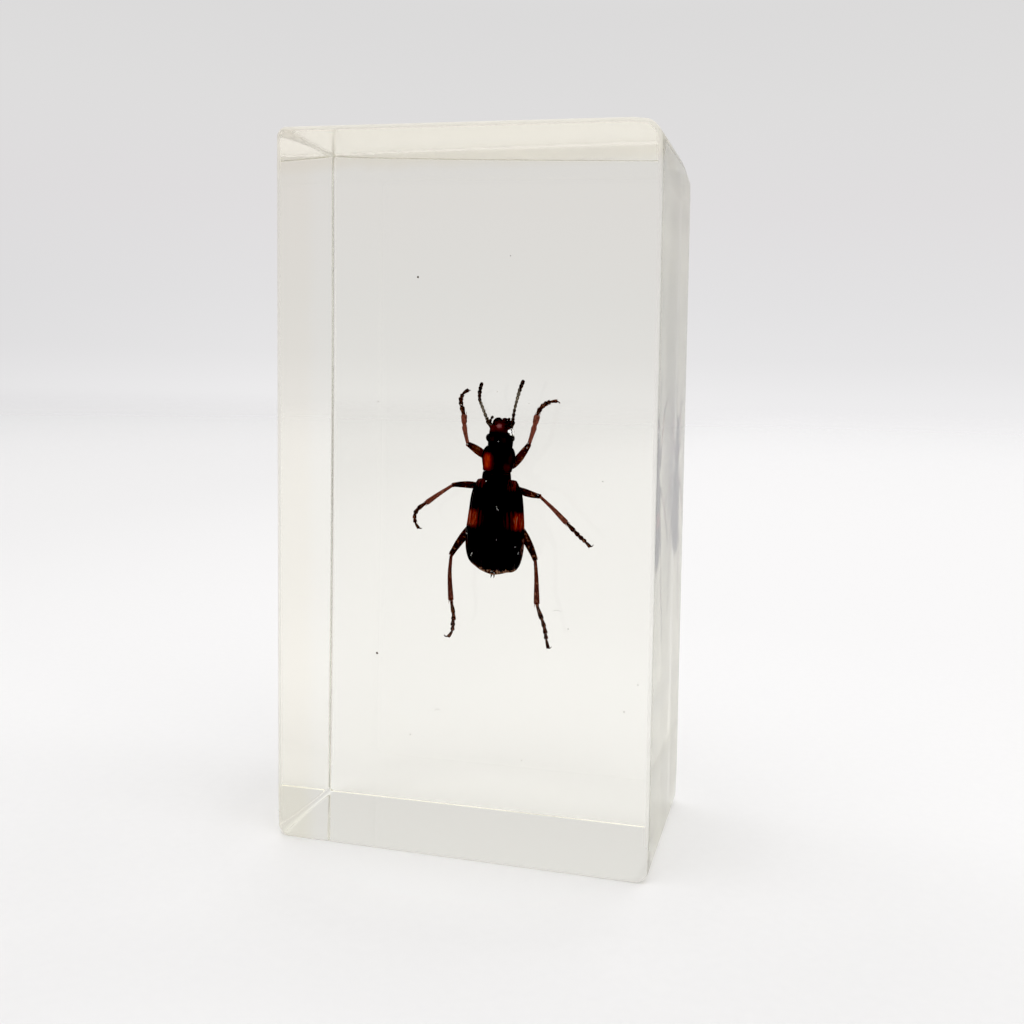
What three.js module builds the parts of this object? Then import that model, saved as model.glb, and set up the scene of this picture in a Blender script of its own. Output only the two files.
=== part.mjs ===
// A clear cast-resin paperweight block that stands on its narrow end.
// Millimetres, +Z up. The origin is the middle of the bottom face; -Y is the front, through which the specimen is seen.
// The block is one solid casting with six flat polished faces. Its right side leans in a little towards the top, its top
// falls a little to the right and rolls off towards the back right corner, and every edge is rounded by hand polishing,
// so that each has a radius of its own. The insect, its air pockets and the dust specks are sealed in the resin and fill
// no room of their own.
import * as THREE from "three";
import { mergeVertices } from "three/addons/utils/BufferGeometryUtils.js";

const BASE_WIDTH = 40.5; // across X at the bottom
const LEAN_IN = 1.02; // how much narrower the top is, all of it on the right side
const HEIGHT_LEFT = 74.58;
const HEIGHT_RIGHT = 74.0;
const DEPTH = 24.0;

// Radii after polishing. First the four edges that run from front to back, which round the block's outline.
const R_TOP_LEFT_AT_FRONT = 1.2; // the left edges are rounded most just behind the front face
const R_TOP_LEFT_AT_BACK = 0.35;
const R_TOP_RIGHT_AT_FRONT = 2.4; // the top right edge is rounded less towards the back
const R_TOP_RIGHT_AT_BACK = 1.5;
const R_BOTTOM_LEFT_AT_FRONT = 1.5;
const R_BOTTOM_LEFT_AT_BACK = 0.6;
const R_BOTTOM_RIGHT = 1.4;
// Then the rims of the front and back faces, on each side of the outline.
const RIM_FRONT_LEFT = 0.8;
const RIM_FRONT_RIGHT = 0.45;
const RIM_FRONT_TOP = 0.6;
const RIM_FRONT_BOTTOM = 0.25;
const RIM_BACK_LEFT = 0.38;
const RIM_BACK_RIGHT = 0.6;
const RIM_BACK_TOP = 0.1;
const RIM_BACK_BOTTOM = 0.12;
// The top rolls off towards the back, hardly at the left and most at the right.
const ROLL_LENGTH_AT_LEFT = 0.6;
const ROLL_LENGTH_AT_RIGHT = 7.2;
const ROLL_SLOPE = 0.176;
const ROLL_BEND = 0.08; // the share of its length over which the roll-off takes up its slope
const ROLL_REACH = 5.0; // below the top, where the sides begin to follow it

const SAMPLE_BLEND = 1.8; // how far the facets of one edge reach into a corner before they meet the next edge's
const SAMPLE_DEPTH = 1; // how far below the rounding the search for the surface starts
const ARC_STEPS = 5; // facets in 45 degrees of a rounded edge
const FLAT_STEPS = [10, 8, 6]; // facets along X, Y and Z between the rounded edges

const HALF = [BASE_WIDTH / 2, DEPTH / 2, HEIGHT_LEFT / 2];

const mix = (from, to, t) => from + (to - from) * t;

// How far the top lies below its flat plane, at a place on it.
function rollOff(x, y) {
  const across = Math.min(Math.max(x / BASE_WIDTH + 0.5, 0), 1);
  const length = mix(
    ROLL_LENGTH_AT_LEFT,
    ROLL_LENGTH_AT_RIGHT,
    across ** 0.7,
  );
  const inside = Math.max(1 - (HALF[1] - y) / length, 0);
  const bend = ROLL_BEND * (Math.exp(-inside / ROLL_BEND) - 1);
  return ROLL_SLOPE * length * (inside + bend);
}

// Where two surfaces meet in a rounded edge: the signed distance outside it, from the distances outside each of them.
function rounded(a, b, radius) {
  return a + radius > 0 && b + radius > 0
    ? Math.hypot(a + radius, b + radius) - radius
    : Math.max(a, b);
}

// Signed distance outside the block, before its top rolls off and falls and its right side leans in. The middle of the
// block is 0, 0, 0.
function outside(x, y, z) {
  const fromSide = Math.abs(x) - HALF[0];
  const fromFace = Math.abs(y) - HALF[1];
  const fromEnd = Math.abs(z) - HALF[2];
  const back = Math.min(Math.max(y / DEPTH + 0.5, 0), 1);
  const nearFront = (1 - back) ** 3;
  const topLeft = mix(R_TOP_LEFT_AT_BACK, R_TOP_LEFT_AT_FRONT, nearFront);
  const bottomLeft = mix(
    R_BOTTOM_LEFT_AT_BACK,
    R_BOTTOM_LEFT_AT_FRONT,
    nearFront,
  );
  const topRight = mix(R_TOP_RIGHT_AT_FRONT, R_TOP_RIGHT_AT_BACK, back);
  const corner =
    z > 0
      ? x > 0
        ? topRight
        : topLeft
      : x > 0
        ? R_BOTTOM_RIGHT
        : bottomLeft;
  const outline = rounded(fromSide, fromEnd, corner);
  const sideRim =
    x > 0
      ? y > 0
        ? RIM_BACK_RIGHT
        : RIM_FRONT_RIGHT
      : y > 0
        ? RIM_BACK_LEFT
        : RIM_FRONT_LEFT;
  const endRim =
    z > 0
      ? y > 0
        ? RIM_BACK_TOP
        : RIM_FRONT_TOP
      : y > 0
        ? RIM_BACK_BOTTOM
        : RIM_FRONT_BOTTOM;
  const sideways = Math.max(fromSide + corner, 0) ** 2;
  const endways = Math.max(fromEnd + corner, 0) ** 2;
  const turn =
    sideways + endways > 0
      ? endways / (sideways + endways)
      : fromEnd > fromSide
        ? 1
        : 0;
  return rounded(outline, fromFace, mix(sideRim, endRim, turn));
}

// Each edge of the block: the axis that it runs along, the sides of the other two axes that meet there, and the room
// that its facets take.
const EDGES = [
  [2, [-1, -1], RIM_FRONT_LEFT],
  [2, [1, -1], RIM_FRONT_RIGHT],
  [2, [-1, 1], RIM_BACK_LEFT],
  [2, [1, 1], RIM_BACK_RIGHT],
  [0, [-1, 1], RIM_FRONT_TOP],
  [0, [1, 1], RIM_BACK_TOP],
  [0, [-1, -1], RIM_FRONT_BOTTOM],
  [0, [1, -1], RIM_BACK_BOTTOM],
  [1, [-1, 1], R_TOP_LEFT_AT_FRONT],
  [1, [1, 1], R_TOP_RIGHT_AT_FRONT],
  [1, [-1, -1], R_BOTTOM_LEFT_AT_FRONT],
  [1, [1, -1], R_BOTTOM_RIGHT],
];

// The room for facets along X, Y and Z at a place on the sharp-edged box: the nearest edge's, blended at the corners.
function roomAt(p) {
  const sum = [0, 0, 0],
    weights = [0, 0, 0];
  for (const [along, sides, room] of EDGES) {
    const others = [0, 1, 2].filter((axis) => axis !== along);
    const away = Math.max(
      HALF[others[0]] - sides[0] * p[others[0]],
      HALF[others[1]] - sides[1] * p[others[1]],
    );
    const weight = (Math.max(away, 0) + SAMPLE_BLEND) ** -4;
    for (const axis of others) {
      sum[axis] += weight * room;
      weights[axis] += weight;
    }
  }
  return sum.map((value, axis) => value / weights[axis]);
}

// The place along an axis of step i of a box's grid: close together in the rounded ends, wide apart on the flat face.
function placeOf(i, axis, room) {
  const last = 2 * ARC_STEPS + FLAT_STEPS[axis];
  const side = i <= ARC_STEPS ? -1 : i >= last - ARC_STEPS ? 1 : 0;
  if (side === 0) {
    const share = (2 * (i - ARC_STEPS)) / FLAT_STEPS[axis] - 1;
    return share * (HALF[axis] - room);
  }
  const share = (side < 0 ? i : last - i) / ARC_STEPS;
  return (
    side *
    (HALF[axis] - room * (1 - Math.tan(((1 - share) * Math.PI) / 4)))
  );
}

// The point of the block's surface for one corner of a box's grid, given by its step along each axis.
function surfacePoint(steps) {
  const nominal = steps.map((step, axis) => placeOf(step, axis, 1.2));
  const room = roomAt(nominal);
  const p = steps.map((step, axis) => placeOf(step, axis, room[axis]));
  const inner = p.map((value, axis) => {
    const limit = HALF[axis] - room[axis] - SAMPLE_DEPTH;
    return Math.min(Math.max(value, -limit), limit);
  });
  // From inside the block towards the sharp-edged box, to where the surface lies.
  let low = 0,
    high = 1.0001;
  const at = (t) => p.map((value, axis) => mix(inner[axis], value, t));
  for (let i = 0; i < 40; i++) {
    const middle = (low + high) / 2;
    if (outside(...at(middle)) < 0) low = middle;
    else high = middle;
  }
  let [x, y, z] = at((low + high) / 2);
  const near = Math.min(Math.max((z - HALF[2]) / ROLL_REACH + 1, 0), 1);
  z += HALF[2] - rollOff(x, y) * near * near * (3 - 2 * near);
  const across = x / BASE_WIDTH + 0.5;
  const up = z / HEIGHT_LEFT;
  x -= LEAN_IN * across * up;
  z -= (HEIGHT_LEFT - HEIGHT_RIGHT) * across * up;
  return [x, y, z];
}

function blockGeometry() {
  const segments = FLAT_STEPS.map((flat) => 2 * ARC_STEPS + flat);
  const geometry = new THREE.BoxGeometry(2, 2, 2, ...segments);
  geometry.deleteAttribute("normal");
  geometry.deleteAttribute("uv");
  const position = geometry.getAttribute("position");
  for (let v = 0; v < position.count; v++) {
    const steps = [position.getX(v), position.getY(v), position.getZ(v)].map(
      (value, axis) => Math.round(((value + 1) / 2) * segments[axis]),
    );
    position.setXYZ(v, ...surfacePoint(steps));
  }
  return mergeVertices(geometry, 1e-3);
}

const resin = new THREE.MeshStandardMaterial({
  color: 0xf4f1e6,
  roughness: 0.03,
  metalness: 0,
  transparent: true,
  opacity: 0.35,
});

const block = new THREE.Mesh(blockGeometry(), resin);
block.name = "resin_block";

const paperweight = new THREE.Group();
paperweight.add(block);

export default paperweight;
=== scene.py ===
import math

import bpy
import numpy as np
from mathutils import Matrix


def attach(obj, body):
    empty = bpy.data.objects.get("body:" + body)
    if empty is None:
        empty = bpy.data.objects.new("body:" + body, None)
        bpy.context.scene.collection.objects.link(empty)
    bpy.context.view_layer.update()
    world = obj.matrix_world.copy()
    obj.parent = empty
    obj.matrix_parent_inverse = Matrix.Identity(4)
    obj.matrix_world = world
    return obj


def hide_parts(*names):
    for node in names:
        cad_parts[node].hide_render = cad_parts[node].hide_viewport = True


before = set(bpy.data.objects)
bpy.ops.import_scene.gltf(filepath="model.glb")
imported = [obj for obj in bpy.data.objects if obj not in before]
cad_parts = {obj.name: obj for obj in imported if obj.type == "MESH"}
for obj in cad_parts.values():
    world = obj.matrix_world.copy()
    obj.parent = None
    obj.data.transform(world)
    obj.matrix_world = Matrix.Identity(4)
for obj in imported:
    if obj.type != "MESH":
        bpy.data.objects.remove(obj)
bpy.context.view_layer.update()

MM = 0.001
scene = bpy.context.scene
scene.view_settings.view_transform = "Standard"
scene.cycles.use_denoising = True
scene.view_settings.use_curve_mapping = True
BLACK_LEVEL = 0.025
scene.view_settings.curve_mapping.black_level = (BLACK_LEVEL,) * 3
scene.view_settings.curve_mapping.update()
scene.cycles.max_bounces = 24
scene.cycles.transmission_bounces = 24
scene.cycles.glossy_bounces = 12


def srgb(r, g, b):
    """Linear colour from 0-255 display values."""
    return tuple(
        (v / 255 / 12.92) if v < 10.3 else ((v / 255 + 0.055) / 1.055) ** 2.4
        for v in (r, g, b)
    )


# ---------------------------------------------------------------------------------------------------------------------
# Camera
# ---------------------------------------------------------------------------------------------------------------------
CAMERA_PLACE = (0.03376086, -0.11688053, 0.04844417)
CAMERA_TURN = (-0.10945, -0.02117, 0.26293)  # tilt down, roll, turn to the left
FOCAL = 1104.29 / 1024 * 36

turn = (
    Matrix.Rotation(CAMERA_TURN[2], 3, "Z")
    @ Matrix.Rotation(CAMERA_TURN[0], 3, "X")
    @ Matrix.Rotation(CAMERA_TURN[1], 3, "Y")
)
right, ahead, up = turn.col
camera = bpy.data.objects.new("camera", bpy.data.cameras.new("camera"))
camera.data.lens = FOCAL
camera.data.sensor_width = 36
camera.data.clip_start = 0.005
camera.data.clip_end = 50
camera.data.dof.use_dof = False
camera.matrix_world = Matrix.Translation(CAMERA_PLACE) @ Matrix(
    (
        (right[0], up[0], -ahead[0]),
        (right[1], up[1], -ahead[1]),
        (right[2], up[2], -ahead[2]),
    )
).to_4x4()
scene.collection.objects.link(camera)
scene.camera = camera


# ---------------------------------------------------------------------------------------------------------------------
# Node materials
# ---------------------------------------------------------------------------------------------------------------------
class Nodes:
    """A short way to write node trees."""

    def __init__(self, tree):
        self.tree = tree
        tree.nodes.clear()

    def put(self, socket, value):
        if isinstance(value, bpy.types.NodeSocket):
            self.tree.links.new(value, socket)
        elif isinstance(value, (tuple, list)) and len(value) == 3 and len(socket.default_value) == 4:
            socket.default_value = (*value, 1)
        else:
            socket.default_value = value

    def node(self, kind, inputs=(), **settings):
        node = self.tree.nodes.new(kind)
        for name, value in settings.items():
            setattr(node, name, value)
        for name, value in dict(inputs).items():
            self.put(node.inputs[name], value)
        return node

    def maths(self, operation, *values, clamp=False):
        node = self.node("ShaderNodeMath", operation=operation, use_clamp=clamp)
        for socket, value in zip(node.inputs, values):
            self.put(socket, value)
        return node.outputs[0]

    def vector(self, operation, *values):
        node = self.node("ShaderNodeVectorMath", operation=operation)
        for socket, value in zip(node.inputs, values):
            self.put(socket, value)
        return node.outputs["Value" if operation in ("LENGTH", "DISTANCE", "DOT_PRODUCT") else "Vector"]

    def fade(self, value, low, high, to_low=0.0, to_high=1.0):
        node = self.node("ShaderNodeMapRange", interpolation_type="SMOOTHSTEP")
        for socket, v in zip(node.inputs, (value, low, high, to_low, to_high)):
            self.put(socket, v)
        return node.outputs[0]

    def mix(self, factor, a, b, blend="MIX"):
        node = self.node("ShaderNodeMix", data_type="RGBA", blend_type=blend)
        self.put(node.inputs[0], factor)
        self.put(node.inputs[6], a)
        self.put(node.inputs[7], b)
        return node.outputs[2]

    def noise(self, vector, scale, detail=3.0, roughness=0.5, output="Fac"):
        node = self.node(
            "ShaderNodeTexNoise",
            {"Vector": vector, "Scale": scale, "Detail": detail, "Roughness": roughness},
        )
        return node.outputs[output]

    def attribute(self, name, output="Fac"):
        return self.node("ShaderNodeAttribute", attribute_name=name).outputs[output]


def material(name):
    made = bpy.data.materials.new(name)
    made.use_nodes = True
    nodes = Nodes(made.node_tree)
    out = nodes.node("ShaderNodeOutputMaterial")
    shader = nodes.node("ShaderNodeBsdfPrincipled")
    nodes.tree.links.new(shader.outputs[0], out.inputs["Surface"])
    return made, nodes, shader, out


# ---------------------------------------------------------------------------------------------------------------------
# Surroundings: a pale seamless table under a soft studio light, darker overhead than at the horizon
# ---------------------------------------------------------------------------------------------------------------------
world = bpy.data.worlds.new("studio")
scene.world = world
world.use_nodes = True
w = Nodes(world.node_tree)


def levels(nodes, value, low, high, stops, top=2.0):
    """Grey or coloured light levels by a number: stops are (number, level)."""
    ramp_node = nodes.node("ShaderNodeValToRGB", {0: nodes.maths("DIVIDE", nodes.maths("SUBTRACT", value, low), high - low)})
    ramp = ramp_node.color_ramp
    while len(ramp.elements) < len(stops):
        ramp.elements.new(0.5)
    for element, (at, level) in zip(ramp.elements, stops):
        element.position = (at - low) / (high - low)
        level = level if isinstance(level, tuple) else (level,) * 3
        element.color = (*(v / top for v in level), 1)
    return nodes.vector("SCALE", ramp_node.outputs[0], (0, 0, 0)), ramp_node


direction = w.node("ShaderNodeTexCoord").outputs["Generated"]
parts = w.node("ShaderNodeSeparateXYZ", {0: direction})
height = parts.outputs["Z"]
# Behind the block, a little to the right, the light is fullest. It falls off to the sides, and most towards the camera.
FULLEST = 0.0
flat = w.vector("NORMALIZE", w.vector("MULTIPLY", direction, (1, 1, 0)))
towards = w.vector("DOT_PRODUCT", flat, (-math.sin(FULLEST), math.cos(FULLEST), 0))
SKY = [  # sine of the height above the horizon, level
    (-1.0, srgb(245, 244, 244)),
    (-0.10, srgb(247, 246, 246)),
    (-0.055, srgb(245, 244, 245)),
    (-0.03, srgb(240.5, 239.5, 240.5)),
    (0.0, srgb(237, 236, 237)),
    (0.03, srgb(231, 230, 231)),
    (0.08, srgb(227, 226, 227)),
    (0.16, srgb(224, 222, 223)),
    (0.24, srgb(222, 221, 221)),
    (0.31, srgb(219.5, 218.5, 218.5)),
    (0.45, (0.785, 0.785, 0.785)),
    (0.70, (1.18, 1.18, 1.18)),
    (1.0, (1.36, 1.36, 1.36)),
]
SKY = [(at, tuple(BLACK_LEVEL + v * (1 - BLACK_LEVEL) for v in level)) for at, level in SKY]
AROUND = [(-1.0, 0.42), (-0.8, 0.43), (-0.5, 0.47), (0.0, 0.60), (0.5, 0.80), (0.777, 0.93), (0.84, 0.962), (0.883, 0.985), (0.966, 1.0), (1.0, 0.995)]
TOP = 2.0
sky, _ = levels(w, height, -1.0, 1.0, SKY, TOP)
sky.node.inputs["Scale"].default_value = TOP
around_, _ = levels(w, towards, -1.0, 1.0, AROUND, TOP)
around_.node.inputs["Scale"].default_value = TOP
around_ = w.mix(w.fade(height, -0.05, 0.26), around_, (1.0, 1.0, 1.0))
# the far table is a little darker to the left
far_left = w.maths("MULTIPLY", w.fade(parts.outputs["X"], 0.0, -0.45, 0.0, 0.08), w.fade(height, -0.003, -0.03))
around_ = w.mix(far_left, around_, (0.0, 0.0, 0.0))
background = w.node("ShaderNodeBackground", {"Color": w.vector("MULTIPLY", sky, around_), "Strength": 1.0})
w.tree.links.new(background.outputs[0], w.node("ShaderNodeOutputWorld").inputs["Surface"])

# The table: a wide disc whose far part fades into the surroundings.
rings, around = [0.0] + list(np.geomspace(0.03, 8.0, 40)), 96
verts, faces = [(0, 0, 0)], []
for r in rings[1:]:
    verts += [(r * math.cos(a), r * math.sin(a), 0) for a in np.linspace(0, 2 * math.pi, around, endpoint=False)]
for j in range(around):
    faces.append((0, 1 + j, 1 + (j + 1) % around))
    for i in range(len(rings) - 2):
        a, b = 1 + i * around, 1 + (i + 1) * around
        faces.append((a + j, b + j, b + (j + 1) % around, a + (j + 1) % around))
mesh = bpy.data.meshes.new("table")
mesh.from_pydata(verts, [], faces)
table = bpy.data.objects.new("table", mesh)
scene.collection.objects.link(table)
made, n, shader, out = material("pale_table")
place = n.node("ShaderNodeTexCoord").outputs["Object"]
grain = n.noise(place, 900.0, 2.0)
near_white = n.mix(grain, srgb(242, 241, 241), srgb(245, 244, 244))
spot = n.node("ShaderNodeSeparateXYZ", {0: place})
# Painted shade on the table: darker far to the left behind the block, and darker in front of the block.
painted_shade_left_back = n.maths("MULTIPLY", n.fade(spot.outputs["X"], -0.03, -0.25, 0.0, 0.08), n.fade(spot.outputs["Y"], 0.0, 0.05))
reach = n.vector("LENGTH", place)
front = n.maths("MULTIPLY", n.fade(spot.outputs["Y"], 0.02, -0.02, 0.0, 0.055), n.fade(reach, 0.025, 0.05))
# Painted light far in front of the block, added to the table's glow below.
painted_light_far_front = n.maths("MULTIPLY", n.fade(spot.outputs["Y"], -0.15, -0.22), 0.07)
n.put(shader.inputs["Base Color"], n.mix(n.maths("ADD", painted_shade_left_back, front), near_white, (0, 0, 0)))
# Painted light: the table glows near the block, in a strip in front of it and far in front, lifting the shade the block
# casts. The glow is weaker just left of the block.
shader.inputs["Emission Color"].default_value = (1, 1, 1, 1)
beside = n.maths("MULTIPLY", n.fade(spot.outputs["X"], 0.0, -0.04), n.fade(spot.outputs["Y"], -0.02, 0.01))
painted_light_wide = n.maths("MULTIPLY", n.fade(reach, 0.03, 0.14, 0.035, 0.0), n.maths("SUBTRACT", 1.0, beside))
off_line = n.maths("ABSOLUTE", n.maths("SUBTRACT", spot.outputs["X"], 0.008))
painted_light_front = n.maths("MULTIPLY", n.fade(off_line, 0.015, 0.045, 0.055, 0.0), n.fade(spot.outputs["Y"], -0.035, -0.055))
painted_light_wide = n.maths("ADD", painted_light_wide, n.maths("ADD", painted_light_front, painted_light_far_front))
n.put(shader.inputs["Emission Strength"], n.maths("ADD", n.fade(reach, 0.017, 0.03, 0.085, 0.0), painted_light_wide))
n.put(shader.inputs["Roughness"], 0.6)
n.put(shader.inputs["IOR"], 1.3)
away = n.vector("LENGTH", place)
to_front = n.maths("DIVIDE", n.node("ShaderNodeSeparateXYZ", {0: place}).outputs["Y"], n.maths("MULTIPLY", away, -1.0))
away = n.maths("MULTIPLY", away, n.fade(to_front, 0.6, 0.96, 1.0, 12.0))
clear = n.node("ShaderNodeBsdfTransparent")
blend = n.node("ShaderNodeMixShader", {0: n.fade(n.maths("LOGARITHM", away, 10.0), -0.6, 0.65)})
n.tree.links.new(shader.outputs[0], blend.inputs[1])
n.tree.links.new(clear.outputs[0], blend.inputs[2])
n.tree.links.new(blend.outputs[0], out.inputs["Surface"])
mesh.materials.append(made)

# ---------------------------------------------------------------------------------------------------------------------
# The resin block: the CAD block's own rounding, finer
# ---------------------------------------------------------------------------------------------------------------------
BASE_WIDTH, HEIGHT_LEFT, HEIGHT_RIGHT, DEPTH, LEAN_IN = 40.5, 74.58, 74.0, 24.0, 1.02
R_TOP_LEFT_AT_FRONT, R_TOP_LEFT_AT_BACK, R_TOP_RIGHT_AT_FRONT, R_TOP_RIGHT_AT_BACK = 1.2, 0.35, 2.4, 1.5
R_BOTTOM_LEFT_AT_FRONT, R_BOTTOM_LEFT_AT_BACK, R_BOTTOM_RIGHT = 1.5, 0.6, 1.4
RIM_FRONT_LEFT, RIM_FRONT_RIGHT, RIM_FRONT_TOP, RIM_FRONT_BOTTOM = 0.8, 0.45, 0.6, 0.25
RIM_BACK_LEFT, RIM_BACK_RIGHT, RIM_BACK_TOP, RIM_BACK_BOTTOM = 0.38, 0.6, 0.1, 0.12
ROLL_LENGTH_AT_LEFT, ROLL_LENGTH_AT_RIGHT, ROLL_SLOPE, ROLL_BEND, ROLL_REACH = 0.6, 7.2, 0.176, 0.08, 5.0
HALF = np.array([BASE_WIDTH / 2, DEPTH / 2, HEIGHT_LEFT / 2])
ARC_STEPS, FLAT_STEPS, SAMPLE_BLEND, SAMPLE_DEPTH = 12, (24, 40, 24), 1.8, 1.0
INSET = 0.004  # the visible block stays this far inside the CAD block


def mix(a, b, t):
    return a + (b - a) * t


def roll_off(x, y):
    length = mix(ROLL_LENGTH_AT_LEFT, ROLL_LENGTH_AT_RIGHT, np.clip(x / BASE_WIDTH + 0.5, 0, 1) ** 0.7)
    inside = np.maximum(1 - (HALF[1] - y) / length, 0)
    return ROLL_SLOPE * length * (inside + ROLL_BEND * (np.exp(-inside / ROLL_BEND) - 1))


def rounded(a, b, radius):
    both = (a + radius > 0) & (b + radius > 0)
    return np.where(
        both,
        np.hypot(np.maximum(a + radius, 0), np.maximum(b + radius, 0)) - radius,
        np.maximum(a, b),
    )


def outside(p):
    x, y, z = p.T
    side = np.abs(x) - HALF[0]
    face = np.abs(y) - HALF[1]
    end = np.abs(z) - HALF[2]
    back = np.clip(y / DEPTH + 0.5, 0, 1)
    near_front = (1 - back) ** 3
    top_left = mix(R_TOP_LEFT_AT_BACK, R_TOP_LEFT_AT_FRONT, near_front)
    bottom_left = mix(R_BOTTOM_LEFT_AT_BACK, R_BOTTOM_LEFT_AT_FRONT, near_front)
    corner = np.where(
        z > 0,
        np.where(x > 0, mix(R_TOP_RIGHT_AT_FRONT, R_TOP_RIGHT_AT_BACK, back), top_left),
        np.where(x > 0, R_BOTTOM_RIGHT, bottom_left),
    )
    outline = rounded(side, end, corner)
    side_rim = np.where(
        x > 0,
        np.where(y > 0, RIM_BACK_RIGHT, RIM_FRONT_RIGHT),
        np.where(y > 0, RIM_BACK_LEFT, RIM_FRONT_LEFT),
    )
    end_rim = np.where(
        z > 0,
        np.where(y > 0, RIM_BACK_TOP, RIM_FRONT_TOP),
        np.where(y > 0, RIM_BACK_BOTTOM, RIM_FRONT_BOTTOM),
    )
    sideways = np.maximum(side + corner, 0) ** 2
    endways = np.maximum(end + corner, 0) ** 2
    total = sideways + endways
    share = np.where(total > 0, endways / np.maximum(total, 1e-12), (end > side) * 1.0)
    return rounded(outline, face, mix(side_rim, end_rim, share)) + INSET


EDGES = [
    (2, (-1, -1), RIM_FRONT_LEFT),
    (2, (1, -1), RIM_FRONT_RIGHT),
    (2, (-1, 1), RIM_BACK_LEFT),
    (2, (1, 1), RIM_BACK_RIGHT),
    (0, (-1, 1), RIM_FRONT_TOP),
    (0, (1, 1), RIM_BACK_TOP),
    (0, (-1, -1), RIM_FRONT_BOTTOM),
    (0, (1, -1), RIM_BACK_BOTTOM),
    (1, (-1, 1), R_TOP_LEFT_AT_FRONT),
    (1, (1, 1), R_TOP_RIGHT_AT_FRONT),
    (1, (-1, -1), R_BOTTOM_LEFT_AT_FRONT),
    (1, (1, -1), R_BOTTOM_RIGHT),
]


def room_at(p):
    total, weights = np.zeros_like(p), np.zeros_like(p)
    for along, sides, room in EDGES:
        others = [axis for axis in range(3) if axis != along]
        far = np.maximum(
            HALF[others[0]] - sides[0] * p[:, others[0]],
            HALF[others[1]] - sides[1] * p[:, others[1]],
        )
        weight = (np.maximum(far, 0) + SAMPLE_BLEND) ** -4.0
        for axis in others:
            total[:, axis] += weight * room
            weights[:, axis] += weight
    return total / weights


def place_of(step, axis, room):
    last = 2 * ARC_STEPS + FLAT_STEPS[axis]
    side = np.where(step <= ARC_STEPS, -1, np.where(step >= last - ARC_STEPS, 1, 0))
    flat = (2 * (step - ARC_STEPS) / FLAT_STEPS[axis] - 1) * (HALF[axis] - room)
    share = np.where(side < 0, step, last - step) / ARC_STEPS
    arc = side * (HALF[axis] - room * (1 - np.tan((1 - share) * math.pi / 4)))
    return np.where(side == 0, flat, arc)


def lean(p):
    """The block's true place of a point, from its place in the square block: top rolled off, right side in, top down."""
    q = p.copy()
    near = np.clip((p[:, 2] - HALF[2]) / ROLL_REACH + 1, 0, 1)
    q[:, 2] += HALF[2] - roll_off(p[:, 0], p[:, 1]) * near * near * (3 - 2 * near)
    across = q[:, 0] / BASE_WIDTH + 0.5
    high = q[:, 2] / HEIGHT_LEFT
    q[:, 0] -= LEAN_IN * across * high
    q[:, 2] -= (HEIGHT_LEFT - HEIGHT_RIGHT) * across * high
    return q


def gradient(function, p, step=1e-4):
    return np.stack([(function(p + d) - function(p - d)) / (2 * step) for d in np.eye(3) * step], -1)


def block_surface():
    counts = [2 * ARC_STEPS + flat for flat in FLAT_STEPS]
    index, steps, quads = {}, [], []

    def corner(key):
        if key not in index:
            index[key] = len(steps)
            steps.append(key)
        return index[key]

    for axis in range(3):
        u, v = (axis + 1) % 3, (axis + 2) % 3
        for side in (0, counts[axis]):
            for i in range(counts[u]):
                for j in range(counts[v]):
                    quad = []
                    for a, b in ((i, j), (i + 1, j), (i + 1, j + 1), (i, j + 1)):
                        key = [0, 0, 0]
                        key[axis], key[u], key[v] = side, a, b
                        quad.append(corner(tuple(key)))
                    quads.append(quad if side else quad[::-1])
    steps = np.array(steps, float)
    nominal = np.stack([place_of(steps[:, a], a, 1.2) for a in range(3)], -1)
    room = room_at(nominal)
    p = np.stack([place_of(steps[:, a], a, room[:, a]) for a in range(3)], -1)
    limit = HALF - room - SAMPLE_DEPTH
    inner = np.clip(p, -limit, limit)
    low, high = np.zeros(len(p)), np.full(len(p), 1.0001)
    for _ in range(44):
        middle = (low + high) / 2
        is_in = outside(mix(inner, p, middle[:, None])) < 0
        low, high = np.where(is_in, middle, low), np.where(is_in, high, middle)
    p = mix(inner, p, ((low + high) / 2)[:, None])
    normal = gradient(outside, p)
    # Through the lean: a normal turns with the inverse transpose of the place's own change.
    jacobian = np.stack([(lean(p + d) - lean(p - d)) / 2e-4 for d in np.eye(3) * 1e-4], -1)
    normal = np.einsum("nji,nj->ni", np.linalg.inv(jacobian), normal)
    return lean(p), quads, normal / np.linalg.norm(normal, axis=1)[:, None]


def ball(centre, radii, rings=20, around=32, dent=0.0, phase=0.0):
    """A rounded air pocket: points, faces and outward normals."""
    centre, radii = np.array(centre, float), np.array(radii, float)
    polar = np.linspace(0, math.pi, rings + 1)[1:-1]
    turn_ = np.linspace(0, 2 * math.pi, around, endpoint=False)
    unit = [(0, 0, 1)]
    for t in polar:
        for a in turn_:
            unit.append((math.sin(t) * math.cos(a), math.sin(t) * math.sin(a), math.cos(t)))
    unit.append((0, 0, -1))
    unit = np.array(unit)
    swell = 1 + dent * np.sin(unit[:, :1] * 3 + phase) * np.cos(unit[:, 1:2] * 2.5 - phase) * (1 - unit[:, 2:] ** 2)
    faces = []
    last = len(unit) - 1
    for j in range(around):
        k = (j + 1) % around
        faces.append((0, 1 + j, 1 + k))
        for i in range(rings - 2):
            a, b = 1 + i * around, 1 + (i + 1) * around
            faces.append((a + j, b + j, b + k, a + k))
        a = 1 + (rings - 2) * around
        faces.append((a + j, last, a + k))
    normal = unit / radii
    return centre + unit * swell * radii, faces, normal / np.linalg.norm(normal, axis=1)[:, None]


# The beetle's own frame, in millimetres: X to its left wing case's right as seen from above, Y to its head, Z up from its
# back. It lies upright in the block, back to the front face, leaning a little to the right.
BEETLE_PLACE = np.array([1.117, 4.0, 37.684])
BEETLE_LEAN = math.radians(2.9)


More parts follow.
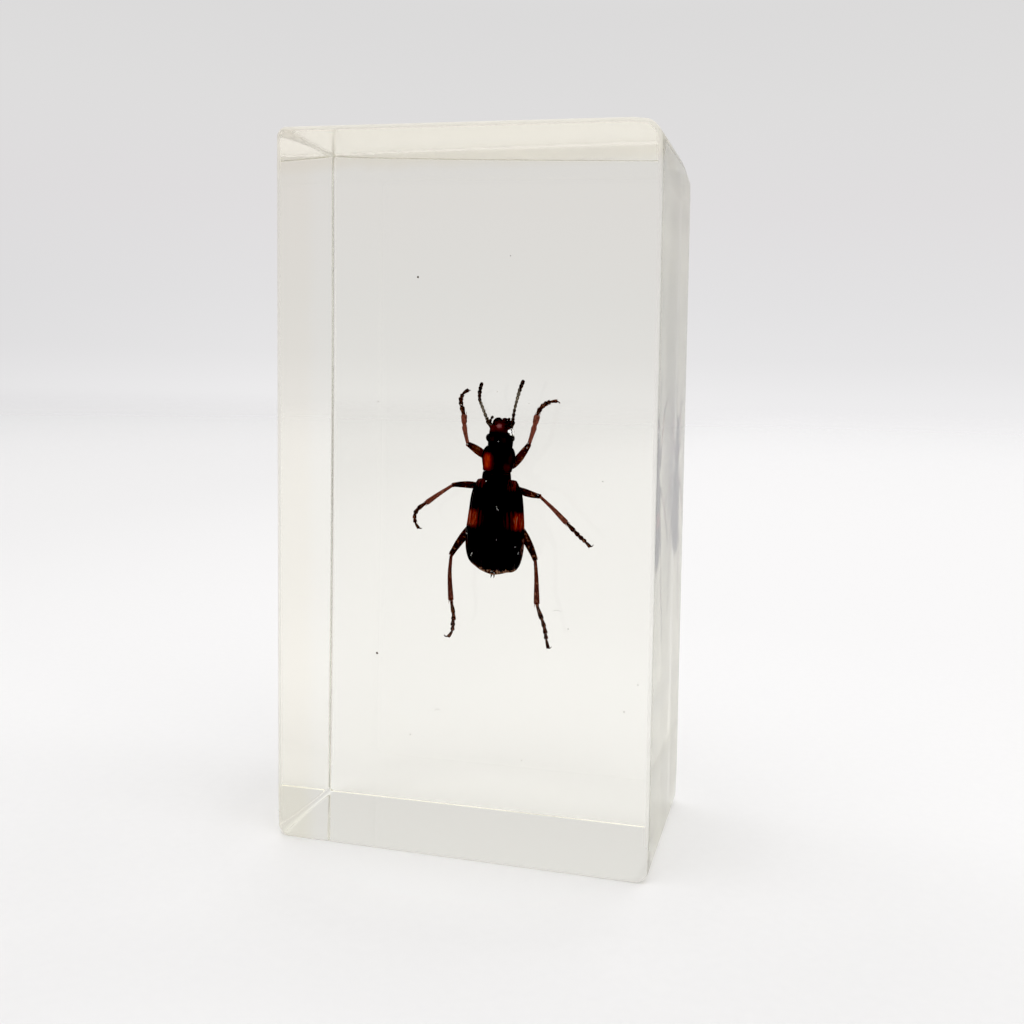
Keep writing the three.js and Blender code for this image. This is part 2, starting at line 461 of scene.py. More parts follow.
def in_block(p):
    """From the beetle's frame to the block's, in millimetres."""
    x, y, z = np.asarray(p, float).T
    c, s = math.cos(BEETLE_LEAN), math.sin(BEETLE_LEAN)
    return np.stack([BEETLE_PLACE[0] + x * c + y * s, BEETLE_PLACE[1] - z, BEETLE_PLACE[2] - x * s + y * c], -1)


# Air sealed in with the beetle: a pocket between each eye and feeler, and pinhead bubbles. Place in the beetle's frame,
# radii along the block's axes.
POCKETS = [
    ((1.20, 6.38, 0.40), (0.34, 0.22, 0.42), 0.06, 0.4),
    ((-4.6, 8.9, 0.6), (0.05, 0.05, 0.05), 0.0, 0.0),
    ((-0.9, 10.6, -0.8), (0.07, 0.07, 0.07), 0.0, 0.0),
    ((2.9, 9.6, 0.4), (0.05, 0.05, 0.05), 0.0, 0.0),
]

points, faces, normals = block_surface()
points, faces, normals = [points], [tuple(f) for f in faces], [normals]
count = len(points[0])
for place, radii, dent, phase in POCKETS:
    p, f, nrm = ball(in_block([place])[0], radii, rings=16, around=24, dent=dent, phase=phase)
    faces += [tuple(count + i for i in face[::-1]) for face in f]  # the resin's surface faces into the pocket
    points.append(p)
    normals.append(-nrm)
    count += len(p)
mesh = bpy.data.meshes.new("resin_casting")
mesh.from_pydata((np.concatenate(points) * MM).tolist(), [], faces)
mesh.shade_smooth()
mesh.normals_split_custom_set_from_vertices(np.concatenate(normals).tolist())
exact = np.concatenate(normals)
# How far each spot is from a flat face, and whether it belongs to the top, for the polish.
off_flat = np.degrees(np.arccos(np.clip(np.abs(exact).max(1), 0, 1)))
edge = np.clip((off_flat - 2.0) / 12.0, 0, 1)
edge[: len(points[0])] *= 0.3 + 0.7 * np.clip(points[0][:, 2] / 4.0 - 0.5, 0, 1)  # less along the bottom
edge[len(points[0]):] = 0
top_side = np.clip((exact[:, 2] - 0.55) / 0.3, 0, 1)
top_side[len(points[0]):] = 0
right_side = np.clip((exact[:, 0] - 0.55) / 0.3, 0, 1)
right_side[len(points[0]):] = 0
for label, values in (("edge", edge), ("top", top_side), ("right", right_side)):
    mesh.attributes.new(label, "FLOAT", "POINT").data.foreach_set("value", values.astype(np.float32))
casting = bpy.data.objects.new("resin_casting", mesh)
scene.collection.objects.link(casting)
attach(casting, "root")
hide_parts("resin_block")

made, n, shader, out = material("clear_resin")
shader.inputs["Transmission Weight"].default_value = 1.0
shader.inputs["IOR"].default_value = 1.55
place = n.node("ShaderNodeTexCoord").outputs["Object"]
# Hand polishing leaves the faces very slightly wavy and the edges a touch less clear.
waves = n.noise(place, 55.0, 1.0)
bump = n.node("ShaderNodeBump", {"Strength": 0.02, "Distance": 0.00003, "Height": waves})
n.put(shader.inputs["Normal"], bump.outputs[0])
# The rounded edges, the open top and the right side were only rubbed down, so they are a little cloudy.
cloud = n.noise(place, 420.0, 4.0, 0.6)
rubbed = n.maths("MAXIMUM", n.maths("MULTIPLY", n.attribute("edge"), 0.5), n.maths("MULTIPLY", n.attribute("top"), 0.24))
rubbed = n.maths("MAXIMUM", rubbed, n.maths("MULTIPLY", n.attribute("right"), 0.15))
uneven_rub = n.mix(n.attribute("top"), n.fade(cloud, 0.2, 0.8, 0.75, 1.2), (1.0, 1.0, 1.0))
n.put(shader.inputs["Roughness"], n.maths("MULTIPLY", rubbed, uneven_rub))
# The casting is tinted warmer near its open top, near its base and a little at its left side, towards its front face.
at = n.node("ShaderNodeSeparateXYZ", {0: place})
uneven = n.maths("MULTIPLY_ADD", n.noise(place, 260.0, 3.0), 0.0009, -0.00045)
near_top = n.fade(n.maths("ADD", at.outputs["Z"], uneven), 0.0694, 0.0709)
near_left = n.fade(n.maths("ADD", at.outputs["X"], uneven), -0.0152, -0.0172)
to_face = n.fade(at.outputs["Y"], 0.0, -0.008)
near_top, near_left = (n.maths("MULTIPLY", share, to_face) for share in (near_top, near_left))
near_base = n.maths("MULTIPLY", n.fade(at.outputs["Z"], 0.0062, 0.0052), to_face)
tint = n.mix(near_left, (0.985, 0.985, 0.985), (0.975, 0.95, 0.91))
tint = n.mix(near_base, tint, (0.985, 0.975, 0.96))
tint = n.mix(near_top, tint, (0.935, 0.89, 0.80))
tint = n.mix(n.maths("MULTIPLY", near_base, near_left), tint, (0.965, 0.935, 0.82))
n.put(shader.inputs["Base Color"], n.mix(n.maths("MULTIPLY", near_top, near_left), tint, (0.93, 0.875, 0.79)))
absorb = n.node("ShaderNodeVolumeAbsorption")
absorb.inputs["Color"].default_value = (0.88, 0.8, 0.0, 1)
absorb.inputs["Density"].default_value = 2.5
n.tree.links.new(absorb.outputs[0], out.inputs["Volume"])
mesh.materials.append(made)


# ---------------------------------------------------------------------------------------------------------------------
# Mesh code for the beetle
# ---------------------------------------------------------------------------------------------------------------------
class Shape:
    """Closed shells in the beetle's frame, with a number at each vertex that the material reads as its tone."""

    def __init__(self):
        self.verts, self.faces, self.tone, self.rib, self.count = [], [], [], [], 0

    def add(self, verts, faces, tone=0.0, rib=0.0):
        verts = np.asarray(verts, float)
        self.verts.append(verts)
        self.faces += [tuple(int(i) + self.count for i in face) for face in faces]
        self.tone.append(np.broadcast_to(tone, len(verts)).astype(float))
        self.rib.append(np.broadcast_to(rib, len(verts)).astype(float))
        self.count += len(verts)
        return self


def piece(name, shape, made):
    verts = np.concatenate(shape.verts)
    mesh = bpy.data.meshes.new(name)
    mesh.from_pydata((in_block(verts) * MM).tolist(), [], shape.faces)
    mesh.shade_smooth()
    for label, values in (("tone", shape.tone), ("rib", shape.rib)):
        mesh.attributes.new(label, "FLOAT", "POINT").data.foreach_set(
            "value", np.concatenate(values).astype(np.float32)
        )
    mesh.attributes.new("mm", "FLOAT_VECTOR", "POINT").data.foreach_set(
        "vector", verts.astype(np.float32).ravel()
    )
    mesh.materials.append(made)
    obj = bpy.data.objects.new(name, mesh)
    scene.collection.objects.link(obj)
    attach(obj, "root")
    return obj


def smooth(xs, ys, x):
    """A smooth curve through given points: cubic pieces with even slopes, for one or several columns."""
    xs, ys, x = np.asarray(xs, float), np.asarray(ys, float), np.asarray(x, float)
    flip = xs[0] > xs[-1]
    if flip:
        xs, ys = xs[::-1], ys[::-1]
    one = ys.ndim == 1
    if one:
        ys = ys[:, None]
    d = np.diff(ys, axis=0) / np.diff(xs)[:, None]
    slope = np.zeros_like(ys)
    slope[0], slope[-1] = d[0], d[-1]
    same = d[:-1] * d[1:] > 0
    slope[1:-1] = np.where(same, 2 * d[:-1] * d[1:] / np.where(same, d[:-1] + d[1:], 1), 0)
    i = np.clip(np.searchsorted(xs, x) - 1, 0, len(xs) - 2)
    h = xs[i + 1] - xs[i]
    t = np.clip((x - xs[i]) / h, 0, 1)[:, None]
    h = h[:, None]
    out_ = (
        (2 * t**3 - 3 * t**2 + 1) * ys[i]
        + (t**3 - 2 * t**2 + t) * h * slope[i]
        + (3 * t**2 - 2 * t**3) * ys[i + 1]
        + (t**3 - t**2) * h * slope[i + 1]
    )
    return out_[:, 0] if one else out_


def curve(points, count):
    """Points spaced evenly along a smooth curve through the given ones."""
    points = np.asarray(points, float)
    along = np.concatenate([[0], np.cumsum(np.linalg.norm(np.diff(points, axis=0), axis=1))])
    t = np.linspace(0, along[-1], 40 * len(points))
    # Catmull-Rom through the points
    slope = np.gradient(points, along, axis=0)
    i = np.clip(np.searchsorted(along, t) - 1, 0, len(along) - 2)
    h = (along[i + 1] - along[i])[:, None]
    s = (t[:, None] - along[i][:, None]) / h
    fine = (
        (2 * s**3 - 3 * s**2 + 1) * points[i]
        + (s**3 - 2 * s**2 + s) * h * slope[i]
        + (3 * s**2 - 2 * s**3) * points[i + 1]
        + (s**3 - s**2) * h * slope[i + 1]
    )
    run = np.concatenate([[0], np.cumsum(np.linalg.norm(np.diff(fine, axis=0), axis=1))])
    want = np.linspace(0, run[-1], count)
    return np.stack([np.interp(want, run, fine[:, k]) for k in range(3)], -1)


def loft(rings):
    """A closed shell through rings of points, with a point at the middle of each end ring."""
    rings = np.asarray(rings, float)
    n_, m = rings.shape[:2]
    verts = np.concatenate([rings.reshape(-1, 3), rings[:1].mean(1), rings[-1:].mean(1)])
    faces = []
    for j in range(m):
        k = (j + 1) % m
        for i in range(n_ - 1):
            faces.append((i * m + j, i * m + k, (i + 1) * m + k, (i + 1) * m + j))
        faces.append((n_ * m, k, j))
        faces.append((n_ * m + 1, (n_ - 1) * m + j, (n_ - 1) * m + k))
    return verts, faces


def tube(path, wide, high, around=14, up_=(0, 0, 1), flutes=0, flute=0.0):
    """A closed limb along a path, with half its width and height at each point."""
    path = np.asarray(path, float)
    wide, high = np.asarray(wide, float), np.asarray(high, float)
    tangent = np.gradient(path, axis=0)
    tangent /= np.linalg.norm(tangent, axis=1)[:, None]
    side = np.cross(tangent, up_)
    side /= np.linalg.norm(side, axis=1)[:, None]
    top = np.cross(side, tangent)
    angle = np.linspace(0, 2 * math.pi, around, endpoint=False)
    swell = 1 + flute * np.cos(flutes * angle) if flutes else np.ones(around)
    return loft(
        path[:, None]
        + side[:, None] * (np.cos(angle) * swell)[None, :, None] * wide[:, None, None]
        + top[:, None] * (np.sin(angle) * swell)[None, :, None] * high[:, None, None]
    )


def limb(start, end, profile, bow=(0, 0, 0), steps=22, around=16, flutes=0, flute=0.0, up_=(0, 0, 1)):
    """One rounded segment. profile: (place from 0 to 1, half width, half height)."""
    start, end = np.asarray(start, float), np.asarray(end, float)
    t = 0.5 - 0.5 * np.cos(np.linspace(0.02, math.pi - 0.02, steps + 1))
    profile = np.array(profile, float)
    size = smooth(profile[:, 0], profile[:, 1:], t)
    length = np.linalg.norm(end - start)
    ends = np.minimum(t * length / (size[:, 0] * 0.8), (1 - t) * length / (size[:, 0] * 0.8))
    ends = np.clip(ends, 0, 1)
    size = size * np.sqrt(1 - (1 - ends) ** 2)[:, None]
    path = start + (end - start) * t[:, None] + np.asarray(bow, float) * (4 * t * (1 - t))[:, None]
    return tube(path, size[:, 0], size[:, 1], around, up_, flutes, flute)


def thorn(start, end, width, bow=(0, 0, 0), steps=8, around=8):
    """A claw, spur, prong or bristle, drawn out to a point."""
    start, end = np.asarray(start, float), np.asarray(end, float)
    t = np.linspace(0, 1, steps + 1)
    path = start + (end - start) * t[:, None] + np.asarray(bow, float) * (4 * t * (1 - t))[:, None]
    size = width / 2 * (1 - t**1.4) + width * 0.04
    d = (end - start) / np.linalg.norm(end - start)
    up_ = (0, 0, 1) if abs(d[2]) < 0.9 else (1, 0, 0)
    return tube(path, size, size, around, up_)


# ---------------------------------------------------------------------------------------------------------------------
# The beetle's finishes
# ---------------------------------------------------------------------------------------------------------------------
BLACK = srgb(5, 3, 9)
ORANGE, RUST, DEEP_RUST = srgb(222, 84, 44), srgb(190, 56, 30), srgb(84, 20, 16)


def cuticle(name, dark, warm, rough=0.32, ior=1.12, scale=1.0):
    """Beetle shell in resin: little gloss is left between the two, and the colour is uneven."""
    made, n, shader, out = material(name)
    mm = n.attribute("mm", "Vector")
    patches = n.noise(mm, 1.6 * scale, 4.0, 0.6)
    colour = n.mix(n.fade(patches, 0.42, 0.72), dark, warm)
    pores = n.node("ShaderNodeTexVoronoi", {"Vector": mm, "Scale": 9.0 * scale}).outputs["Distance"]
    fine = n.noise(mm, 26.0 * scale, 3.0)
    bump = n.node("ShaderNodeBump", {"Strength": 0.35, "Distance": 0.00002, "Height": n.maths("ADD", pores, fine)})
    n.put(shader.inputs["Normal"], bump.outputs[0])
    n.put(shader.inputs["Roughness"], n.fade(fine, 0.2, 0.8, rough - 0.06, rough + 0.12))
    shader.inputs["IOR"].default_value = ior
    n.put(shader.inputs["Base Color"], colour)
    return made, n, shader, mm, colour


def patch(n, mm, middle, half, soft, ragged, grain=3.0):
    """1 inside a ragged, round-cornered patch of the beetle's back, 0 outside."""
    wander = n.vector("SUBTRACT", n.noise(mm, grain, 3.0, 0.6, "Color"), (0.5, 0.5, 0.5))
    wander = n.vector("MULTIPLY", wander, (ragged * 4, ragged * 4, 0))
    p = n.vector("MULTIPLY", n.vector("SUBTRACT", n.vector("ADD", mm, wander), middle), tuple(1 / h for h in half))
    p = n.node("ShaderNodeSeparateXYZ", {0: p})
    corner = n.maths(
        "ADD",
        n.maths("POWER", n.maths("ABSOLUTE", p.outputs["X"]), 3.0),
        n.maths("POWER", n.maths("ABSOLUTE", p.outputs["Y"]), 3.0),
    )
    return n.fade(n.maths("POWER", corner, 1 / 3), 1 - soft, 1 + soft, 1.0, 0.0)


def marks(n, mm, colour, spots):
    for middle, half, soft, ragged, inner in spots:
        colour = n.mix(patch(n, mm, (*middle, 0.0), (*half, 50.0), soft, ragged), colour, inner)
    return colour


head_made, n, shader, mm, colour = cuticle("head_shell", srgb(34, 11, 15), srgb(56, 19, 22), scale=1.3)
colour = marks(
    n,
    mm,
    colour,
    [
        # Painted highlight: a pink spot and its halo on the front of the head stand in for a reflection.
        ((-0.2, 6.90), (0.46, 0.36), 0.6, 0.06, srgb(92, 36, 40)),
        ((-0.2, 6.95), (0.22, 0.17), 0.7, 0.06, srgb(168, 100, 104)),
        ((-0.95, 6.70), (0.26, 0.32), 0.6, 0.06, srgb(78, 28, 28)),
        ((0.0, 5.10), (1.9, 1.16), 0.12, 0.05, srgb(8, 5, 10)),
        ((-0.92, 5.50), (0.30, 0.26), 0.6, 0.06, srgb(46, 12, 14)),
        ((0.45, 5.42), (0.34, 0.30), 0.6, 0.06, srgb(40, 11, 13)),
    ],
)
n.put(shader.inputs["Base Color"], colour)

thorax_made, n, shader, mm, colour = cuticle("thorax_shell", BLACK, srgb(10, 4, 9))
grain_ = n.noise(n.vector("MULTIPLY", mm, (9.0, 1.6, 1.0)), 1.0, 3.0)
warm = n.mix(n.fade(grain_, 0.35, 0.65), DEEP_RUST, ORANGE)
colour = marks(
    n,
    mm,
    colour,
    [
        ((-1.18, 2.98), (0.66, 0.98), 0.35, 0.09, srgb(66, 16, 14)),
        ((-1.24, 3.02), (0.46, 0.80), 0.40, 0.09, srgb(128, 34, 22)),
        ((-1.23, 3.05), (0.27, 0.66), 0.60, 0.09, n.mix(0.35, RUST, warm)),
        ((1.05, 2.60), (0.62, 0.90), 0.6, 0.12, srgb(34, 11, 14)),
        ((0.98, 2.48), (0.24, 0.32), 0.7, 0.10, srgb(64, 26, 27)),
        ((1.38, 3.60), (0.24, 0.60), 0.6, 0.10, srgb(36, 13, 14)),
    ],
)
n.put(shader.inputs["Base Color"], colour)

wing_made, n, shader, mm, colour = cuticle("wing_case_shell", BLACK, srgb(7, 4, 10))
rib = n.attribute("rib")
grain_ = n.noise(n.vector("MULTIPLY", mm, (5.0, 1.0, 1.0)), 1.6, 3.0)
fine_grain = n.noise(n.vector("MULTIPLY", mm, (9.0, 0.8, 1.0)), 1.0, 3.0, 0.6)
streak = n.mix(n.fade(grain_, 0.35, 0.65), srgb(124, 34, 22), srgb(170, 54, 32))
# Darker in the furrows between the ribs: partly the cuticle's own colour, partly painted shade.
streak = n.mix(n.fade(rib, 0.1, 0.7, 0.5, 0.0), streak, srgb(84, 22, 14))
streak = n.mix(n.fade(fine_grain, 0.55, 0.70, 0.0, 0.55), streak, srgb(220, 144, 110))
streak = n.mix(n.fade(fine_grain, 0.36, 0.48, 0.6, 0.0), streak, srgb(70, 16, 12))
# Lighter on the ribs: partly the cuticle's own colour, partly a painted highlight.
ember = n.mix(n.fade(n.maths("ADD", rib, fine_grain), 0.4, 1.3), srgb(24, 7, 9), srgb(66, 18, 15))
dusky = n.mix(n.fade(fine_grain, 0.40, 0.64), srgb(20, 8, 10), srgb(104, 38, 36))
broken = n.fade(n.noise(mm, 1.7, 3.0), 0.46, 0.58)
colour = marks(
    n,
    mm,
    colour,
    [
        ((-2.25, -3.20), (1.05, 1.02), 0.30, 0.16, ember),
        ((-2.66, -3.24), (0.70, 0.82), 0.38, 0.16, streak),
        ((2.30, -3.15), (1.08, 0.98), 0.30, 0.16, ember),
        ((2.78, -3.22), (0.58, 0.82), 0.38, 0.16, streak),
        ((-1.86, 0.72), (0.44, 0.42), 0.75, 0.18, dusky),
        ((1.74, 0.70), (0.44, 0.52), 0.75, 0.18, dusky),
        # Lighter along the outer margins: partly the margins' own colour, partly painted light shining through the thin
        # edges.
        ((-3.12, -6.9), (0.14, 1.5), 0.6, 0.10, n.mix(broken, srgb(22, 8, 10), srgb(74, 34, 28))),
        ((-3.05, -0.9), (0.10, 0.9), 0.6, 0.08, n.mix(broken, srgb(30, 10, 12), srgb(84, 34, 30))),
        ((3.20, -1.6), (0.13, 1.2), 0.5, 0.08, n.mix(broken, srgb(36, 12, 14), srgb(104, 44, 36))),
        ((3.36, -6.4), (0.16, 1.6), 0.6, 0.10, n.mix(broken, srgb(24, 10, 12), srgb(112, 70, 62))),
    ],
)
tone = n.attribute("tone")
pale = n.mix(n.fade(n.noise(mm, 3.4, 3.0, 0.6), 0.38, 0.6), srgb(180, 136, 112), srgb(54, 25, 20))
colour = n.mix(tone, colour, pale)
n.put(shader.inputs["Base Color"], colour)

body_made, n, shader, mm, colour = cuticle("underside_shell", srgb(14, 6, 8), srgb(36, 12, 12))
tone = n.attribute("tone")
n.put(shader.inputs["Base Color"], n.mix(tone, colour, srgb(190, 140, 118)))

eye_made, n, shader, mm, colour = cuticle("eye_facets", srgb(10, 8, 12), srgb(20, 14, 18), rough=0.22, ior=1.2, scale=3.0)

leg_made, n, shader, mm, colour = cuticle("leg_shell", srgb(92, 34, 26), srgb(120, 52, 38), ior=1.1, scale=1.5)
tone = n.attribute("tone")
# tone: 0.2 thighs, 0.35 front thighs, 0.46 hind shins, 0.6 front shins, 0.85 feet
colour = n.mix(n.fade(tone, 0.2, 0.35), srgb(42, 16, 16), srgb(104, 50, 36))
colour = n.mix(n.fade(tone, 0.36, 0.46), colour, srgb(102, 50, 43))
colour = n.mix(n.fade(tone, 0.5, 0.6), colour, srgb(150, 86, 74))
colour = n.mix(n.fade(tone, 0.65, 0.80), colour, srgb(70, 46, 41))
colour = n.mix(n.fade(tone, 0.84, 1.0), colour, srgb(36, 22, 21))
colour = n.mix(n.fade(n.noise(mm, 2.6, 4.0, 0.65), 0.53, 0.66, 0.0, 0.55), colour, srgb(188, 122, 96))
colour = n.mix(n.fade(n.noise(mm, 3.4, 4.0, 0.65, "Color"), 0.45, 0.66, 0.0, 0.65), colour, srgb(36, 12, 11))
n.put(shader.inputs["Base Color"], colour)
shader.inputs["Subsurface Weight"].default_value = 0.3
shader.inputs["Subsurface Radius"].default_value = (1.0, 0.5, 0.4)
shader.inputs["Subsurface Scale"].default_value = 0.00015

feeler_made, n, shader, mm, colour = cuticle("feeler_shell", srgb(60, 50, 46), srgb(90, 78, 70), rough=0.5, scale=2.5)
tone = n.attribute("tone")
colour = n.mix(tone, srgb(168, 158, 144), srgb(42, 29, 27))
colour = n.mix(n.fade(n.noise(mm, 4.0, 4.0), 0.42, 0.66, 0.0, 0.6), colour, srgb(58, 42, 38))
n.put(shader.inputs["Base Color"], colour)
shader.inputs["Subsurface Weight"].default_value = 0.5
shader.inputs["Subsurface Radius"].default_value = (1.0, 0.8, 0.6)
shader.inputs["Subsurface Scale"].default_value = 0.00015

# ---------------------------------------------------------------------------------------------------------------------
# Head, eyes, jaws, palps and feelers
# ---------------------------------------------------------------------------------------------------------------------
HEAD = [  # y, left, right, top, bottom
    (4.45, -1.20, 1.12, 0.30, -0.55),
    (4.62, -1.34, 1.28, 0.46, -0.68),
    (4.90, -1.42, 1.36, 0.60, -0.76),
    (5.25, -1.44, 1.38, 0.70, -0.78),
    (5.65, -1.40, 1.36, 0.74, -0.76),
    (6.05, -1.36, 1.30, 0.72, -0.72),
    (6.45, -1.32, 1.20, 0.64, -0.66),
    (6.80, -1.27, 1.10, 0.52, -0.58),
    (7.02, -1.10, 0.98, 0.42, -0.50),
    (7.16, -0.86, 0.82, 0.32, -0.40),
]


def body_rings(stations, along, around, m=2.3, front=0.25, back=0.25):
    """Rings of a rounded body along Y, its ends drawn in over the given lengths."""
    stations = np.array(stations, float)
    y = mix(stations[0, 0], stations[-1, 0], 0.5 - 0.5 * np.cos(np.linspace(0.01, math.pi - 0.01, along)))
    size = smooth(stations[:, 0], stations[:, 1:], y)
    start, end = np.abs(y - stations[0, 0]) / back, np.abs(y - stations[-1, 0]) / front
    close = np.sqrt(1 - (1 - np.clip(np.minimum(start, end), 0, 1)) ** 2)
    angle = np.linspace(0, 2 * math.pi, around, endpoint=False)
    c, s = np.cos(angle), np.sin(angle)
    cc, ss = np.sign(c) * np.abs(c) ** (2 / m), np.sign(s) * np.abs(s) ** (2 / m)
    rings = []
    for yy, (l, r, t, b), k in zip(y, size, close):
        middle, half = (l + r) / 2, (r - l) / 2 * k
        mid_z = (t + b) / 2
        z = mid_z + np.where(ss > 0, (t - mid_z) * ss, (mid_z - b) * ss) * k
        rings.append(np.stack([middle + cc * half, np.full(around, yy), z], -1))
    return np.array(rings)


rings = body_rings(HEAD, 70, 96)
x, y, z = rings[..., 0], rings[..., 1], rings[..., 2]
upper = z > 0
# Two shallow furrows between the feelers, the clypeus line, fine cross wrinkles and the pinched throat.
furrow = np.exp(-(((np.abs(x) - 0.55) / 0.13) ** 2)) * np.exp(-(((y - 6.35) / 0.45) ** 2))
line = np.exp(-(((y - 6.78 - 0.06 * np.cos(2 * x)) / 0.05) ** 2)) * (np.abs(x) < 0.95)
z -= np.where(upper, 0.07 * furrow + 0.045 * line, 0)
z += np.where(upper, 0.006 * np.sin(y * 38 + 3 * x), 0)
z += np.where(~upper, 0.05 * np.exp(-((x / 0.2) ** 2)) * (y < 6.6), 0)
head = Shape().add(*loft(rings))
# Brow ridge over each eye, and the socket that each feeler turns in
for side, ey, ex in ((-1, 5.62, -1.26), (1, 5.74, 1.18)):
    head.add(*tube(
        curve([(ex * 0.98, ey - 0.62, 0.30), (ex * 0.97, ey - 0.2, 0.46), (ex * 0.95, ey + 0.3, 0.46), (ex * 0.93, ey + 0.72, 0.34)], 16),
        0.07 * np.sin(np.linspace(0.15, math.pi - 0.15, 16)) + 0.015,
        0.07 * np.sin(np.linspace(0.15, math.pi - 0.15, 16)) + 0.015,
        10,
    ))
    head.add(*limb((ex * 0.86, 6.62, 0.12), (ex * 1.02, 6.98, 0.12), [(0, 0.17, 0.17), (0.6, 0.2, 0.2), (1, 0.17, 0.17)], steps=12))
# Upper lip, with its front edge slightly notched
lip = body_rings([(6.95, -0.78, 0.74, 0.40, 0.04), (7.2, -0.76, 0.72, 0.36, 0.02), (7.42, -0.66, 0.62, 0.27, 0.0), (7.56, -0.5, 0.46, 0.18, 0.0)], 18, 48, m=3.0, front=0.14, back=0.1)
lip[..., 1] -= 0.07 * np.exp(-((lip[..., 0] / 0.16) ** 2)) * (lip[..., 1] > 7.4)
head.add(*loft(lip))
# Tongue plate behind the jaws, then the chin plate under the mouth
head.add(*loft(body_rings([(6.6, -0.80, 0.76, -0.04, -0.42), (7.1, -0.78, 0.74, -0.04, -0.40), (7.42, -0.62, 0.58, -0.05, -0.32), (7.66, -0.36, 0.32, -0.06, -0.24)], 18, 40, m=2.6, front=0.16, back=0.1)))
head.add(*loft(body_rings([(6.3, -0.5, 0.5, -0.55, -0.78), (6.8, -0.62, 0.6, -0.45, -0.7), (7.1, -0.3, 0.3, -0.36, -0.52)], 14, 32, m=3)))
piece("beetle_head", head, head_made)

for name, side in (("left", -1), ("right", 1)):
    ex, ey = (-1.30, 5.60) if side < 0 else (1.20, 5.72)
    rings_, around_ = 30, 48
    eye = Shape()
    verts_, faces_ = [], []
    polar = np.linspace(0, math.pi, rings_ + 1)
    turn_ = np.linspace(0, 2 * math.pi, around_, endpoint=False)
    p = np.stack([
        np.cos(polar)[:, None] * np.ones(around_)[None],
        np.sin(polar)[:, None] * np.cos(turn_)[None],
        np.sin(polar)[:, None] * np.sin(turn_)[None],
    ], -1)[1:-1]
    facet = 1 + 0.012 * np.cos(turn_ * 24)[None] * np.sin(polar * 30)[1:-1, None]
    p = p * facet[..., None] * np.array([0.36 * side, 0.44 * side * side, 0.40 * side])
    p = p + np.array([ex, ey, 0.12])
    if side < 0:
        p = p[:, ::1]
    verts_, faces_ = loft(p if side > 0 else p[:, ::1])
    eye.add(verts_, [f[::-1] for f in faces_])
    piece("beetle_eye_" + name, eye, eye_made)

    jaw = Shape()
    path = curve([(0.72 * side, 6.95, 0.0), (0.78 * side, 7.22, 0.02), (0.66 * side, 7.50, 0.03), (0.34 * side, 7.68, 0.03), (0.02 * side, 7.72 + 0.03 * side, 0.04 + 0.04 * side)], 22)
    t = np.linspace(0, 1, 22)
    size = smooth([0, 0.15, 0.5, 0.8, 1], [0.18, 0.27, 0.24, 0.17, 0.03], t)
    jaw.add(*tube(path, size, size * 0.7, 16))
    for tooth in (0.45, 0.6):
        a = path[int(tooth * 21)]
        jaw.add(*thorn(a, a + np.array([-0.36 * side, 0.02, 0]), 0.2))
    piece("beetle_jaw_" + name, jaw, head_made)

    palp = Shape()
    if side < 0:
        route = [(-0.72, 6.75, -0.42), (-1.12, 6.92, -0.36), (-1.34, 7.22, -0.26), (-1.31, 7.66, -0.2), (-1.02, 7.93, -0.2)]
    else:
        route = [(0.62, 6.75, -0.42), (0.84, 7.0, -0.36), (0.92, 7.3, -0.26), (0.84, 7.62, -0.22), (0.62, 7.86, -0.2)]
    for i, (a, b) in enumerate(zip(route, route[1:])):
        wide = (0.12, 0.14, 0.15, 0.17)[i]
        palp.add(*limb(a, b, [(0, wide * 0.7, wide * 0.7), (0.6, wide, wide), (1, wide * 0.8, wide * 0.8)], steps=12, around=12), tone=0.9)
    short = [(0.22 * side, 6.9, -0.5), (0.34 * side, 7.2, -0.46), (0.36 * side, 7.48, -0.36), (0.26 * side, 7.72, -0.26)]
    for i, (a, b) in enumerate(zip(short, short[1:])):
        palp.add(*limb(a, b, [(0, 0.07, 0.07), (0.6, 0.1, 0.1), (1, 0.08, 0.08)], steps=10, around=10), tone=0.9)
    piece("beetle_palps_" + name, palp, feeler_made)

FEELERS = {
    "left": [(-1.27, 6.92, 0.12), (-1.42, 7.15, 0.12), (-1.57, 7.43, 0.15), (-1.85, 7.95, 0.2), (-2.11, 8.52, 0.25), (-2.36, 9.04, 0.3), (-2.57, 9.51, 0.3), (-2.65, 9.99, 0.3), (-2.65, 10.53, 0.3), (-2.57, 11.07, 0.25), (-2.47, 11.42, 0.25)],
    "right": [(1.10, 6.92, 0.12), (1.16, 7.2, 0.12), (1.21, 7.59, 0.15), (1.26, 8.13, 0.2), (1.32, 8.67, 0.25), (1.43, 9.32, 0.3), (1.51, 9.76, 0.3), (1.62, 10.3, 0.3), (1.77, 10.95, 0.3), (1.94, 11.54, 0.25), (2.10, 11.98, 0.25)],
}
JOINTS = np.array([0, 0.13, 0.19, 0.29, 0.385, 0.475, 0.56, 0.645, 0.73, 0.815, 0.9, 1.0])
WIDTH = [0.26, 0.20, 0.19, 0.18, 0.18, 0.185, 0.20, 0.215, 0.23, 0.23, 0.22]
TONES = {
    "left": [0.9, 0.8, 0.5, 0.2, 0.2, 0.5, 0.85, 1.0, 1.0, 1.0, 1.0],
    "right": [1.0, 1.0, 1.0, 0.85, 0.4, 0.25, 0.15, 0.3, 0.7, 1.0, 1.0],
}
rng = np.random.default_rng(7)
